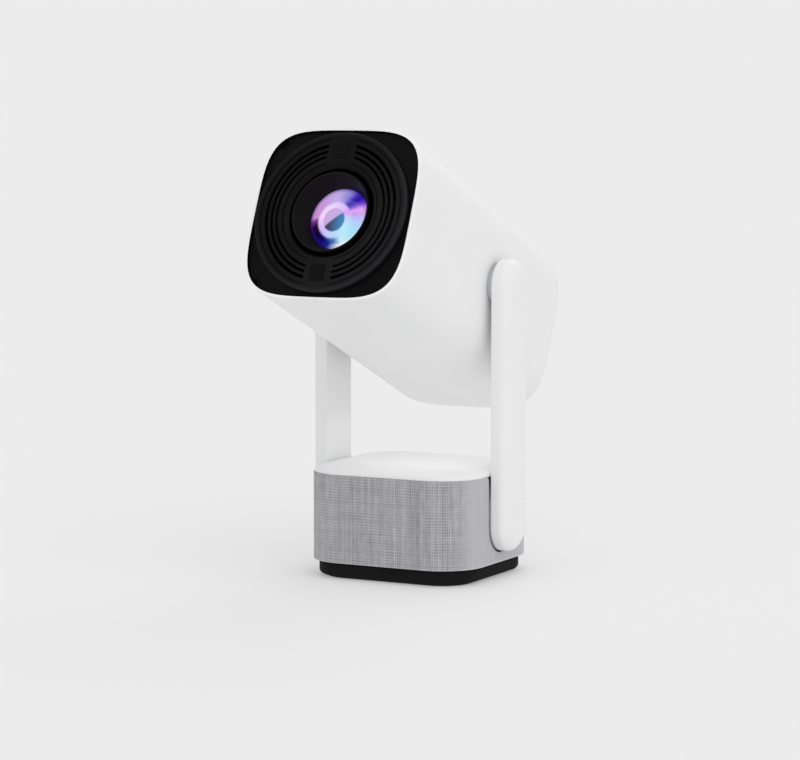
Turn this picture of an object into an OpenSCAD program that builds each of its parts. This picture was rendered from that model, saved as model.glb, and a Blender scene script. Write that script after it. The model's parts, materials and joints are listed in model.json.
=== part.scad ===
// Home projector: a rounded-square barrel head tilts between the two arms of a
// yoke, which stands on a speaker base wrapped in woven fabric.
// The origin is the centre of the underside, -Y is the way the lens faces,
// +X is the arm with the friction hinge, and +Z is up.
// Inside the head, parts are drawn in a head frame that starts at the tilt
// pivot: +Z towards the lens, +Y up and +X towards the hinge arm.

/* [Base] */
// Width of the base, from arm to arm
base_w = 100; // [96:1:102]
// Depth of the base, front to back
base_d = 94; // [90:1:98]
// Radius of the base's upright corners
base_corner_r = 24; // [20:1:28]
// Height of the fabric's top edge
fabric_top = 57; // [55:0.5:58]
// Thickness of the fabric wrap
fabric_t = 1.2; // [0.8:0.1:1.4]
// Height of the black foot's top edge
foot_top = 9.2; // [9:0.1:10]
// How far the foot stands in from the fabric
foot_inset = 3; // [2:0.5:4]
// Wall of the base tub
tub_wall = 2.4; // [2.2:0.1:2.6]

/* [Yoke] */
// Height of the tilt pivot
pivot_z = 159.1; // [158:0.1:164]
// Distance from the centre to the inner face of each arm
arm_in = 50.4; // [50.2:0.1:51]
// Thickness of each arm at its crown
arm_t = 10.2; // [9:0.1:11]
// Width of each arm, front to back
arm_w = 28.6; // [27:0.2:29]
// Height of each arm's lower end
arm_bottom = 15.5; // [15:0.5:17]
// Wall of the arm shells
arm_wall = 1.6; // [1.2:0.1:1.6]

/* [Head] */
// Width and height of the head
head_w = 94; // [93:0.5:94.4]
// Front lip of the head, forward of the pivot
head_front = 106; // [105:0.5:107]
// Rear face of the head, behind the pivot
head_rear = 93; // [92.5:0.1:93.5]
// Rounding of the head's rear edge
rear_r = 21; // [20:0.5:22]
// Squareness of the head's section, where 2 is a circle
squareness = 4.2; // [3.8:0.1:4.6]
// Wall of the head shell
head_wall = 2; // [1.8:0.1:2.2]
// Angle of the lens above level at rest
rest_tilt = 23; // [-20:1:80]

/* [Face] */
// Thickness of the white lip round the bezel
lip_t = 1.2; // [1:0.1:1.6]
// Radius of the bezel's raised disc
disc_r = 43.8; // [43:0.1:44]
// How far the disc stands proud of the lip
disc_proud = 2.6; // [2:0.1:3]
// How far the bezel's corners lie behind the lip
corner_drop = 1.6; // [1:0.1:2]
// Width of the two tabs that interrupt the slots
tab_w = 16; // [14:0.5:18]
// Outer radius of the lens rim
rim_r = 22; // [21.8:0.1:22.2]
// Radius of the bezel's hole round the lens
hole_r = 24.2; // [24:0.1:24.4]

/* [Optics] */
// Radius of the front lens
front_lens_r = 17.6; // [17:0.1:17.8]
// Width of the display panel's picture
panel_w = 60; // [56:1:62]
// Height of the display panel's picture
panel_h = 34; // [32:1:36]

/* [Hidden] */
$fn = 64;
gap = 0.1;
eps = 0.01;

// Base
tub_w = base_w - 2 * fabric_t;
tub_d = base_d - 2 * fabric_t;
tub_r = base_corner_r - fabric_t;
tub_top = fabric_top;
tub_floor = 2.4;
notch_gap = 1;
pad_in = arm_in - 2.8;
foot_w = base_w - 2 * foot_inset;
foot_d = base_d - 2 * foot_inset;
foot_r = base_corner_r - foot_inset;
pad_h = 1;
foot_wall = 2.5;
cap_inset = 0.4;
cap_edge_h = 1.6;
cap_rise = 3.4;
cap_rim_h = 3;
plateau_r = 34;
plateau_h = 0.4;
boss_x = 36;
boss_y = 33;
boss_r = 4;
boss_h = 12;
base_screw_r = 1.25;
base_head_r = 2.8;
base_head_t = 1.8;
foot_floor = pad_h + 3.2;
counterbore_top = pad_h + 2;
counterbore_r = 3.2;
insert_bore_r = 3.1;
insert_r = 5;
insert_flange_r = 6;
insert_flange_z = 9;
insert_top = 12;
ballast_h = 6;

// Speaker, measured back from the inside of the tub's front wall
speaker_z = 33;
speaker_hole_r = 19;
speaker_y = -tub_d / 2 + tub_wall;
flange_r = 21;
flange_t = 1.4;
basket_r = 20;
basket_back_r = 12;
basket_depth = 11;
basket_wall = 1.6;
magnet_r = 13;
magnet_h = 6;
coil_r = 6.05;
coil_t = 0.4;

// Yoke
arm_r = arm_w / 2;
arm_top = pivot_z + arm_r;
cover_t = 1.6;
shell_in = arm_in + cover_t;
arm_out = arm_in + arm_t;
crown_w = 9;
crown_t = 6;
bracket_t = 1.6;
bracket_in = shell_in + 0.2;
bracket_r = 9;
side_boss_z = [26, 44];
side_boss_r = 4;
side_screw_r = 1.45;
side_head_r = 2.8;
side_head_t = 1.5;
lead_hole_r = 2;
lead_hole_z = 52;
shaft_r = 4;
bush_r = 6;
journal_r = 7;
journal_bush_r = 8.6;
run_gap = 0.05;
bush_flange_t = 1;
bush_proud = 0.4;
washer_r = 7.6;
washer_t = 0.7;
washer_in = bracket_in + bracket_t + bush_proud + gap;
nut_in = washer_in + washer_t + run_gap;
nut_r = 6.6;
nut_t = 1.9;
lead_r = 1.2;
lead_x = bracket_in + bracket_t + lead_r + 0.6;

// Head
head_half = head_w / 2;
cavity_half = head_half - head_wall;
collar_in = head_half + gap;
collar_out = arm_in - 0.5;
collar_r = 12.5;
trunnion_in = 41;
trunnion_r = 9;
lead_bore_r = 5;
ring_nut_r = 14;
ring_nut_t = 3;
lip_depth = 8;
bezel_half = head_half - lip_t - gap;
disc_top = head_front + disc_proud;
field_top = head_front - corner_drop;
bezel_t = 2.4;
face_t = 3;
disc_edge = 0.8;
hole_chamfer = 1.8;
hole_collar_low = 98.3;
slots = [[30.9, 1.3], [33.8, 1.5], [36.9, 1.7]];
grooves = [[27.2, 0.7], [40.4, 0.6]];
groove_depth = 0.8;
rib_turns = [0, 45, 135, 180, 225, 315];
rib_t = 1.2;
window_y = 33.5;
window_w = 9;
window_t = 0.4;
window_pocket = 0.6;
chassis_low = 90;
chassis_t = 2;
chassis_hole_r = 29;
post_at = 32.5;
post_r = 3;
post_pilot_r = 1.2;

// Rear panel
panel_half = 24.4;
panel_t = 2.4;
panel_lip = 2.2;
port_y = -16.5;
port_x = [-18.6, -6.6, 8.6, 19.2];
vent_rows = 9;
vent_pitch = 3.4;
vent_low = -6;
vent_w = 34;
vent_h = 1.8;
rear_screw_x = 20.4;
rear_screw_y = 14;

// Button and cooling
button_z = -48;
button_r = 6.5;
button_travel = 0.8;
switch_y = 35.6;
fan_y = 6;
fan_front = -64;
fan_t = 12;
fan_half = 25;
fan_bore_r = 23.4;
fan_hub_r = 11;
fan_spoke_t = 1.5;
blades = 7;
fins = 13;
fin_pitch = 4.5;

// Optics
barrel_front = disc_top - gap;
tube_in = rim_r + run_gap;
tube_out = 23.8;
tube_rear = 66;
tube_front = 98;
nut_angle = 45;
screw_off = 28.8;
screw_r = 1.5;
motor_r = 4.8;
motor_seat = 84;
rear_lens_r = 15.2;
engine_w = 76;
engine_h = 54;
engine_wall = 2;
engine_back = -20;
engine_front = 60;
plate_w = engine_w - 2 * engine_wall - 0.2;
plate_h = engine_h - 2 * engine_wall - 0.2;
plate_t = 2;

// Points of a rounded square of the given half-width
function rounded_square(half, steps = 72) = [
    for (i = [0 : steps - 1])
        let (a = 360 * i / steps, c = abs(cos(a)), s = abs(sin(a)))
        let (reach = half / pow(pow(c, squareness) + pow(s, squareness), 1 / squareness))
        [reach * cos(a), reach * sin(a)]
];

// Points of a rectangle with round corners, anticlockwise
function rect_points(w, d, r, steps = 12) = [
    for (corner = [0 : 3], i = [0 : steps])
        let (a = 90 * corner + 90 * i / steps)
        let (sx = corner == 0 || corner == 3 ? 1 : -1, sy = corner < 2 ? 1 : -1)
        [sx * (w / 2 - r) + r * cos(a), sy * (d / 2 - r) + r * sin(a)]
];

// Flat points raised to a height
function at_height(points, z) = [for (p = points) [p[0], p[1], z]];

// Skin through a list of rings with equal counts of points. The ends are
// closed with flat faces, or joined to each other in a loop.
module loft(rings, loop = false) {
    n = len(rings[0]);
    m = len(rings);
    side = [
        for (i = [0 : m - (loop ? 1 : 2)], j = [0 : n - 1])
            let (a = i * n, b = ((i + 1) % m) * n, k = (j + 1) % n)
            each [[a + j, b + j, a + k], [a + k, b + j, b + k]]
    ];
    ends = loop ? [] : [
        [for (j = [0 : n - 1]) j],
        [for (j = [n - 1 : -1 : 0]) (m - 1) * n + j]
    ];
    polyhedron(points = [for (ring = rings) each ring], faces = concat(side, ends));
}

// Slab with the section of the head, from one height to another
module section(half, low, high) {
    translate([0, 0, low])
        linear_extrude(high - low)
            polygon(rounded_square(half));
}

// Puts its children at the tilt pivot, in the head frame
module in_head() {
    translate([0, 0, pivot_z])
        rotate([-rest_tilt, 0, 0])
            rotate([90, 0, 0])
                children();
}

// Puts its children on the tilt axis, with +Z along +X or -X
module on_axis(side) {
    translate([0, 0, pivot_z])
        rotate([0, 90 * side, 0])
            children();
}

// Flat rectangle with round corners
module round_rect(w, d, r) {
    square([w - 2 * r, d], center = true);
    square([w, d - 2 * r], center = true);
    for (x = [-1, 1], y = [-1, 1])
        translate([x * (w / 2 - r), y * (d / 2 - r)])
            circle(r);
}

// Upright slab with round corners
module round_slab(w, d, r, low, high) {
    translate([0, 0, low])
        linear_extrude(high - low)
            round_rect(w, d, r);
}

// Upright plate with round ends, across X, on the side named by its sign
module arm_plate(r, low, high, from_x, to_x, side) {
    translate([side > 0 ? from_x : -to_x, 0, 0])
        rotate([90, 0, 90])
            linear_extrude(to_x - from_x) {
                translate([-r, low + r])
                    square([2 * r, high - low - 2 * r]);
                for (z = [low + r, high - r])
                    translate([0, z])
                        circle(r);
            }
}

// Rod along X on the side named by its sign
module side_rod(r, from_x, to_x, y, z, side) {
    translate([side > 0 ? from_x : -to_x, y, z])
        rotate([0, 90, 0])
            cylinder(r = r, h = to_x - from_x);
}

// Annulus standing on z = low
module ring(outer, inner, low, high) {
    translate([0, 0, low])
        difference() {
            cylinder(r = outer, h = high - low);
            translate([0, 0, -1])
                cylinder(r = inner, h = high - low + 2);
        }
}

// Box centred in X and Y, from one height to another
module block(w, d, low, high) {
    translate([-w / 2, -d / 2, low])
        cube([w, d, high - low]);
}

// ---- Base ----

module base_tub() color("gainsboro") difference() {
    union() {
        difference() {
            round_slab(tub_w, tub_d, tub_r, foot_top, tub_top);
            round_slab(tub_w - 2 * tub_wall, tub_d - 2 * tub_wall, tub_r - tub_wall,
                foot_top + tub_floor, tub_top + 1);
        }
        for (x = [-1, 1], y = [-1, 1])
            translate([x * boss_x, y * boss_y, foot_top])
                cylinder(r = boss_r, h = boss_h);
        for (side = [-1, 1], z = side_boss_z)
            side_rod(side_boss_r, tub_w / 2 - tub_wall - 3, bracket_in, 0, z, side);
    }
    for (side = [-1, 1]) {
        difference() {
            arm_plate(arm_r + notch_gap, arm_bottom - notch_gap, fabric_top + 40,
                pad_in - gap, base_w, side);
            for (z = side_boss_z)
                side_rod(side_boss_r, 0, bracket_in, 0, z, side);
        }
        for (z = side_boss_z)
            side_rod(side_screw_r + run_gap, tub_w / 2 - tub_wall - 4, base_w, 0, z, side);
        side_rod(lead_hole_r, tub_w / 2 - 8, base_w, 0, lead_hole_z, side);
    }
    translate([0, 0, speaker_z])
        rotate([90, 0, 0])
            cylinder(r = speaker_hole_r, h = base_d);
    for (x = [-1, 1], y = [-1, 1])
        translate([x * boss_x, y * boss_y, foot_top - 1])
            cylinder(r = base_screw_r + run_gap, h = boss_h - 1);
    translate([0, 0, foot_top - 1])
        cylinder(r = insert_flange_r + 0.2, h = tub_floor + 2);
}

module fabric_wrap() color("darkgray") difference() {
    round_slab(base_w, base_d, base_corner_r, foot_top, fabric_top);
    round_slab(tub_w, tub_d, tub_r, foot_top - 1, fabric_top + 1);
    for (side = [-1, 1])
        arm_plate(arm_r + notch_gap, arm_bottom - notch_gap, fabric_top + 40,
            tub_w / 2 - tub_wall, base_w, side);
}

// Ring of the cap at a height, drawn in from the fabric's outline
function cap_ring(inset, z) =
    at_height(rect_points(base_w - 2 * inset, base_d - 2 * inset, base_corner_r - inset), z);

// Domed cap with a round plateau and a rim that locates it in the tub
module top_cap() color("white") {
    rim = fabric_t + tub_wall + gap;
    loft([
        at_height(rect_points(60, 60, 29), fabric_top + 1.6),
        cap_ring(rim + 2, fabric_top + 0.4),
        cap_ring(rim + 1.6, fabric_top - cap_rim_h),
        cap_ring(rim, fabric_top - cap_rim_h),
        cap_ring(rim, fabric_top),
        cap_ring(cap_inset, fabric_top),
        cap_ring(cap_inset, fabric_top + cap_edge_h),
        cap_ring(cap_inset + 0.3, fabric_top + cap_edge_h + 0.5),
        cap_ring(cap_inset + 1.2, fabric_top + cap_edge_h + 0.9),
        cap_ring(6, fabric_top + cap_rise - 0.3),
        at_height(rect_points(2 * plateau_r + 1, 2 * plateau_r + 1, plateau_r), fabric_top + cap_rise),
        at_height(rect_points(2 * plateau_r, 2 * plateau_r, plateau_r - 0.5),
            fabric_top + cap_rise + plateau_h)
    ]);
}

// Ring of the foot at a height, drawn in from its own outline
function foot_ring(inset, z) =
    at_height(rect_points(foot_w - 2 * inset, foot_d - 2 * inset, foot_r - inset, 8), z);

module foot() color("black") difference() {
    loft([
        foot_ring(foot_wall, foot_floor),
        foot_ring(foot_wall, foot_top),
        foot_ring(0, foot_top),
        foot_ring(0, pad_h + 2.4),
        foot_ring(0.7, pad_h + 0.7),
        foot_ring(2.2, pad_h)
    ]);
    translate([0, 0, -1])
        cylinder(r = insert_r, h = foot_top);
    for (x = [-1, 1], y = [-1, 1])
        translate([x * boss_x, y * boss_y, -1]) {
            cylinder(r = base_screw_r + 0.45, h = foot_top);
            cylinder(r = counterbore_r, h = counterbore_top + 1);
        }
}

module foot_pad() color("dimgray") difference() {
    round_slab(foot_w - 8, foot_d - 8, foot_r - 4, 0, pad_h);
    translate([0, 0, -1])
        cylinder(r = insert_r + 1, h = pad_h + 2);
}

module tripod_insert() color("goldenrod") {
    ring(insert_r - run_gap, insert_bore_r, 0, insert_flange_z);
    ring(insert_flange_r, insert_bore_r, insert_flange_z, insert_top);
}

module ballast_plate() color("slategray") difference() {
    round_slab(62, 56, 8, foot_top + tub_floor, foot_top + tub_floor + ballast_h);
    translate([0, 0, foot_top])
        cylinder(r = insert_flange_r + 1, h = tub_floor + ballast_h + 1);
}

// ---- Speaker ----

module at_speaker() {
    translate([0, speaker_y, speaker_z])
        rotate([-90, 0, 0])
            children();
}

module speaker_frame() color("dimgray") at_speaker() difference() {
    union() {
        cylinder(r = flange_r, h = flange_t);
        cylinder(r1 = basket_r, r2 = basket_back_r, h = basket_depth);
    }
    translate([0, 0, -1])
        cylinder(r = basket_r - basket_wall, h = flange_t + 1);
    translate([0, 0, flange_t - eps])
        cylinder(r1 = basket_r - basket_wall, r2 = basket_back_r - basket_wall,
            h = basket_depth - flange_t + 0.1);
    // Windows in the basket
    for (turn = [22.5 : 45 : 359])
        rotate(turn)
            translate([(basket_r + basket_back_r) / 2 - 1, 0, basket_depth / 2 + 0.5])
                rotate([0, 90, 0])
                    cylinder(r = 2.6, h = 12, center = true);
}

module speaker_magnet() color("silver") at_speaker() {
    back = basket_depth + magnet_h;
    ring(magnet_r, coil_r + 0.25, basket_depth + run_gap, back);
    translate([0, 0, back])
        cylinder(r = magnet_r - 1, h = 2);
    translate([0, 0, basket_depth - 2])
        cylinder(r = coil_r - 0.45, h = magnet_h + 2 + eps);
}

// Paper cone with its surround, voice coil and dust dome
module speaker_cone() color("black") at_speaker() {
    edge_r = basket_r - basket_wall - gap;
    dome_r = 12;
    rotate_extrude()
        polygon([[edge_r - 0.5, 0.2], [edge_r, 0.2], [edge_r, 0.9], [edge_r - 3.3, 1],
            [coil_r + coil_t / 2, 7], [coil_r + coil_t / 2, basket_depth - 0.4],
            [coil_r - coil_t / 2, basket_depth - 0.4], [coil_r - coil_t / 2, 6.4],
            [edge_r - 3.7, 0.5]]);
    translate([0, 0, 4.6])
        intersection() {
            cylinder(r = coil_r + 1.35, h = 3);
            translate([0, 0, dome_r + 0.2])
                sphere(r = dome_r);
        }
}

module speaker_board() color("darkgreen") translate([0, 30, 34])
    cube([52, 1.6, 26], center = true);

module base_screws() color("silver") for (x = [-1, 1], y = [-1, 1])
    translate([x * boss_x, y * boss_y, 0]) {
        translate([0, 0, pad_h + gap])
            cylinder(r = base_head_r, h = base_head_t);
        translate([0, 0, pad_h + base_head_t])
            cylinder(r = base_screw_r, h = 13);
    }

// ---- Arms ----

// Ring of a crowned arm: at 0 degrees it is the full outline, and at 90 the crown
function arm_ring(turn, wall, x, steps = 16) = [
    let (r = arm_r - wall - crown_w * (1 - cos(turn)))
    for (top = [true, false], i = [0 : steps])
        let (a = (top ? 0 : 180) + 180 * i / steps)
        let (z = top ? arm_top - arm_r : arm_bottom + arm_r)
        [x, r * cos(a), z + r * sin(a)]
];

function crown_x(turn, wall) = arm_out - wall - crown_t * (1 - sin(turn));

module arm_shell(side) mirror([side > 0 ? 0 : 1, 0, 0])
    loft([
        for (turn = [90 : -15 : 0])
            arm_ring(turn, arm_wall, crown_x(turn, arm_wall)),
        arm_ring(0, arm_wall, shell_in),
        arm_ring(0, 0, shell_in),
        for (turn = [0 : 15 : 90])
            arm_ring(turn, 0, crown_x(turn, 0))
    ]);

// Inner half of an arm, with the pad that sits in the base's notch
module arm_cover(side, pivot_hole_r) difference() {
    union() {
        arm_plate(arm_r, arm_bottom, arm_top, arm_in, shell_in, side);
        arm_plate(arm_r, arm_bottom, fabric_top - 2, pad_in, arm_in + eps, side);
    }
    for (z = side_boss_z)
        side_rod(side_boss_r + gap, pad_in - 1, base_w, 0, z, side);
    side_rod(lead_hole_r, pad_in - 1, base_w, 0, lead_hole_z, side);
    on_axis(side)
        cylinder(r = pivot_hole_r, h = base_w);
}

module arm_bracket(side, bore_r) color("silver") difference() {
    arm_plate(bracket_r, arm_bottom + 2.5, pivot_z + 11, bracket_in, bracket_in + bracket_t, side);
    on_axis(side)
        cylinder(r = bore_r, h = base_w);
    for (z = side_boss_z)
        side_rod(side_screw_r + 0.15, bracket_in - 1, base_w, 0, z, side);
    side_rod(lead_hole_r, bracket_in - 1, base_w, 0, lead_hole_z, side);
}

// Flanged bush that the pivot turns in
module pivot_bush(side, bore_r, wall_r) color("khaki") on_axis(side) {
    ring(wall_r, bore_r, bracket_in, bracket_in + bracket_t + bush_proud);
    ring(wall_r + 2, bore_r, bracket_in - bush_flange_t, bracket_in);
}

module right_arm_shell() color("white") arm_shell(1);
module left_arm_shell() color("white") arm_shell(-1);
module right_arm_cover() color("white") arm_cover(1, bush_r + 2.4);
module left_arm_cover() color("white") arm_cover(-1, journal_bush_r + 2.4);
module right_arm_bracket() arm_bracket(1, bush_r);
module left_arm_bracket() arm_bracket(-1, journal_bush_r);
module right_pivot_bush() pivot_bush(1, shaft_r + run_gap, bush_r);
module left_pivot_bush() pivot_bush(-1, journal_r + run_gap, journal_bush_r);

module arm_screws() color("silver") for (side = [-1, 1], z = side_boss_z) {
    side_rod(side_screw_r, tub_w / 2 - tub_wall - 2, bracket_in + bracket_t, 0, z, side);
    side_rod(side_head_r, bracket_in + bracket_t, bracket_in + bracket_t + side_head_t, 0, z, side);
}

// Round lead through a list of points
module lead_path(points) {
    for (i = [0 : len(points) - 2])
        let (d = points[i + 1] - points[i])
        translate(points[i])
            rotate([0, acos(d[2] / norm(d)), atan2(d[1], d[0])])
                cylinder(r = lead_r, h = norm(d));
    for (i = [1 : len(points) - 2])
        translate(points[i])
            sphere(lead_r);
}

// Lead from the speaker board, up the left arm and in along the pivot
module yoke_lead() color("black")
    lead_path([[-24, 29.2, 40], [-24, 24, 40], [-24, 24, lead_hole_z], [-24, 0, lead_hole_z],
        [-lead_x, 0, lead_hole_z], [-lead_x, 0, pivot_z], [-head_half + 2, 0, pivot_z]]);

// ---- Pivot parts that turn with the head ----

module right_trunnion() color("silver") on_axis(1) {
    rotate_extrude()
        polygon([[0, trunnion_in], [trunnion_r, trunnion_in], [trunnion_r, collar_in],
            [collar_r, collar_in], [collar_r, collar_out], [journal_r, collar_out],
            [journal_r, bracket_in - bush_flange_t - gap], [shaft_r, bracket_in - bush_flange_t - gap],
            [shaft_r, bracket_in + 5], [0, bracket_in + 5]]);
}

module left_trunnion() color("silver") on_axis(-1) {
    rotate_extrude()
        polygon([[lead_bore_r, trunnion_in], [trunnion_r, trunnion_in], [trunnion_r, collar_in],
            [collar_r, collar_in], [collar_r, collar_out], [journal_r, collar_out],
            [journal_r, bracket_in + bracket_t + 0.3], [lead_bore_r, bracket_in + bracket_t + 0.3]]);
}

module ring_nut(side) color("silver") on_axis(side)
    ring(ring_nut_r, trunnion_r + run_gap, cavity_half - gap - ring_nut_t, cavity_half - gap);

module right_ring_nut() ring_nut(1);
module left_ring_nut() ring_nut(-1);

module friction_washer() color("silver") on_axis(1)
    ring(washer_r, shaft_r + run_gap, washer_in, washer_in + washer_t);

module pivot_nut() color("silver") on_axis(1) difference() {
    translate([0, 0, nut_in])
        cylinder(r = nut_r, h = nut_t, $fn = 6);
    cylinder(r = shaft_r + run_gap, h = base_w);
}

// ---- Head casing ----

// Rings of the head's skin from its straight side round to the rear face
function rear_rings(half, rear, edge_r) = [
    for (turn = [0 : 11.25 : 90])
        at_height(rounded_square(half - edge_r * (1 - cos(turn))), rear + edge_r * (1 - sin(turn)))
];

function reversed(list) = [for (i = [len(list) - 1 : -1 : 0]) list[i]];

module head_shell() color("white") in_head() difference() {
    loft(concat(
        [at_height(rounded_square(head_half), head_front)],
        rear_rings(head_half, -head_rear, rear_r),
        [at_height(rounded_square(panel_half + 0.2), -head_rear),
        at_height(rounded_square(panel_half + 0.2), -head_rear + head_wall)],
        reversed(rear_rings(cavity_half, -head_rear + head_wall, rear_r - head_wall)),
        [at_height(rounded_square(cavity_half), head_front - lip_depth),
        at_height(rounded_square(head_half - lip_t), head_front - lip_depth),
        at_height(rounded_square(head_half - lip_t), head_front)]
    ), loop = true);
    rotate([0, 90, 0])
        cylinder(r = trunnion_r + gap, h = base_w, center = true);
    translate([0, 0, button_z])
        rotate([-90, 0, 0])
            cylinder(r = button_r + 0.2, h = base_w);
}

// Upright rods at the four corners that the bezel's screws pass
module corner_posts(r, low, high) {
    for (x = [-1, 1], y = [-1, 1])
        translate([post_at * x, post_at * y, low])
            cylinder(r = r, h = high - low);
}

module head_chassis() color("dimgray") in_head() difference() {
    section(cavity_half - gap, chassis_low, chassis_low + chassis_t);
    translate([0, 0, chassis_low - 1])
        cylinder(r = chassis_hole_r, h = chassis_t + 2);
    corner_posts(post_pilot_r + 0.3, chassis_low - 1, chassis_low + chassis_t + 1);
    rotate(nut_angle)
        translate([screw_off, 0, chassis_low - 1])
            cylinder(r = motor_r + 2.2, h = chassis_t + 2);
}

// Half-ring slots on both sides of the tabs
module arc_slots(radius, width, low, high) {
    difference() {
        ring(radius + width / 2, radius - width / 2, low, high);
        translate([-tab_w / 2, -base_w, low - 1])
            cube([tab_w, 2 * base_w, high - low + 2]);
    }
}

// Disc with its ring slots, before the ribs behind them
module slotted_face() difference() {
    union() {
        section(bezel_half, field_top - bezel_t, field_top);
        translate([0, 0, field_top - 1])
            cylinder(r = disc_r, h = disc_top - field_top + 1 - disc_edge, $fn = 128);
        translate([0, 0, disc_top - disc_edge - eps])
            cylinder(r1 = disc_r, r2 = disc_r - disc_edge, h = disc_edge, $fn = 128);
        corner_posts(post_r, chassis_low + chassis_t + gap, field_top - 1);
        ring(hole_r + 2, hole_r, hole_collar_low, field_top - 1);
    }
    translate([0, 0, 90])
        cylinder(r = hole_r, h = 40);
    translate([0, 0, disc_top - hole_chamfer])
        cylinder(r1 = hole_r, r2 = hole_r + hole_chamfer + 1, h = hole_chamfer + 1);
    ring(disc_r - 2, hole_r + 3, field_top - bezel_t - 1, disc_top - face_t);
    for (slot = slots)
        arc_slots(slot[0], slot[1], chassis_low, disc_top + 1);
    for (groove = grooves)
        arc_slots(groove[0], groove[1], disc_top - groove_depth, disc_top + 1);
    for (y = [-window_y, window_y])
        translate([0, y, disc_top - window_pocket])
            block(window_w + 0.2, window_w + 0.2, 0, 5);
    corner_posts(post_pilot_r, chassis_low, 100);
}

module front_bezel() color("black") in_head() {
    slotted_face();
    for (turn = rib_turns)
        rotate(turn)
            translate([hole_r + 2.5, -rib_t / 2, field_top - bezel_t])
                cube([disc_r - hole_r - 4, rib_t, disc_top - face_t - field_top + bezel_t + 0.6]);
}

module sensor_windows() color("darkslategray") in_head() for (y = [-window_y, window_y])
    translate([0, y, 0])
        block(window_w, window_w, disc_top - window_pocket, disc_top - window_pocket + window_t);

module bezel_screws() color("silver") in_head() {
    corner_posts(2 * post_pilot_r, chassis_low - 1.7, chassis_low);
    corner_posts(post_pilot_r - run_gap, chassis_low - 1, chassis_low + 9);
}

// Puts its children at one of the four ports
module at_port(i) {
    translate([port_x[i], port_y, 0])
        children();
}

// One vent slot with round ends
module vent_slot(h) linear_extrude(h) {
    square([vent_w, vent_h], center = true);
    for (x = [-vent_w / 2, vent_w / 2])
        translate([x, 0])
            circle(vent_h / 2, $fn = 24);
}

module rear_panel() color("dimgray") in_head() difference() {
    union() {
        section(panel_half, -head_rear, -head_rear + panel_t);
        section(panel_half + panel_lip, -head_rear + panel_t - gap, -head_rear + panel_t + 1.4);
    }
    translate([0, 0, -head_rear - 1]) {
        for (row = [0 : vent_rows - 1])
            translate([0, vent_low + vent_pitch * row, 0])
                vent_slot(8);
        at_port(0) cylinder(r = 3.6, h = 8);
        at_port(1) block(14.9, 6.1, 0, 8);
        at_port(2) block(13.5, 7.1, 0, 8);
        at_port(3) cylinder(r = 2.9, h = 8);
        for (x = [-1, 1])
            translate([rear_screw_x * x, rear_screw_y, 0]) {
                cylinder(r = 1.1, h = 8);
                cylinder(r = 2.1, h = 2.2);
            }
    }
}

module rear_screws() color("silver") in_head() for (x = [-1, 1])
    translate([rear_screw_x * x, rear_screw_y, -head_rear]) {
        translate([0, 0, 0.2])
            cylinder(r = 1.9, h = 1);
        translate([0, 0, 1.1])
            cylinder(r = 1, h = 5);
    }

// Open-mouthed metal can of a socket
module socket_can(w, h, wall, depth) difference() {
    block(w, h, -head_rear + 0.4, -head_rear + depth);
    block(w - 2 * wall, h - 2 * wall, -head_rear - 1, -head_rear + depth - 2);
}

module hdmi_socket() color("silver") in_head() at_port(1) socket_can(14.7, 5.9, 0.4, 13);
module usb_socket() color("silver") in_head() at_port(2) socket_can(13.3, 6.9, 0.5, 14);

// Round socket in a square body, with a centre pin where its radius is not 0
module round_socket(outer, bore, pin) {
    difference() {
        union() {
            translate([0, 0, -head_rear + 0.4])
                cylinder(r = outer, h = 11);
            block(2 * outer + 1, 2 * outer, -head_rear + 4, -head_rear + 13);
        }
        translate([0, 0, -head_rear - 1])
            cylinder(r = bore, h = 12);
    }
    if (pin > 0)
        translate([0, 0, -head_rear + 1.5])
            cylinder(r = pin, h = 10);
}

module audio_socket() color("black") in_head() at_port(3) round_socket(2.7, 1.8, 0);
module power_inlet() color("black") in_head() at_port(0) round_socket(3.4, 2.75, 1.05);

// ---- Power button and boards ----

module power_button() color("white") in_head() translate([0, 0, button_z]) rotate([-90, 0, 0]) {
    translate([0, 0, cavity_half - 0.3])
        cylinder(r = button_r, h = head_wall + 0.8);
    translate([0, 0, cavity_half - 1.4])
        cylinder(r = button_r + 1.4, h = 1.2);
    translate([0, 0, cavity_half - 4])
        cylinder(r = 2, h = 3);
}

module power_switch() color("black") in_head() translate([0, switch_y, button_z]) rotate([-90, 0, 0]) {
    block(6, 6, 0, 2.4);
    cylinder(r = 1.6, h = cavity_half - 4 - button_travel - switch_y - gap);
}

module driver_board() color("darkgreen") in_head() translate([0, switch_y - 0.8, -34])
    cube([44, 1.6, 52], center = true);

module main_board() color("darkgreen") in_head() translate([0, -24, -56])
    cube([56, 1.6, 60], center = true);

// Lead from the pivot round the engine to the driver board
module head_lead() color("black") in_head()
    lead_path([[-head_half + 2 + gap, 0, 0], [-39.4, 0, 0], [-39.4, 30.5, 0],
        [-39.4, 30.5, -12], [-18, 30.5, -12], [-18, 34, -12]]);

// ---- Optics ----

module lens_barrel() color("black") in_head() {
    rotate_extrude()
        polygon([[rim_r, 70], [rim_r, barrel_front], [rim_r - 0.8, barrel_front],
            [front_lens_r - 0.8, 98], [front_lens_r - 0.8, 97], [front_lens_r + run_gap, 96.4],
            [front_lens_r + run_gap, 93], [rear_lens_r, 91], [rear_lens_r, 82],
            [rear_lens_r - 0.8, 82], [rear_lens_r - 0.8, 80.2], [rear_lens_r + run_gap, 80.2],
            [rear_lens_r + run_gap, 72], [rear_lens_r + 1.2, 70]]);
    rotate(nut_angle)
        difference() {
            translate([rim_r - 0.5, -3, 72])
                cube([screw_off - rim_r + 3.5, 6, 4]);
            translate([screw_off, 0, 60])
                cylinder(r = screw_r + run_gap, h = 30);
        }
}

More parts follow.
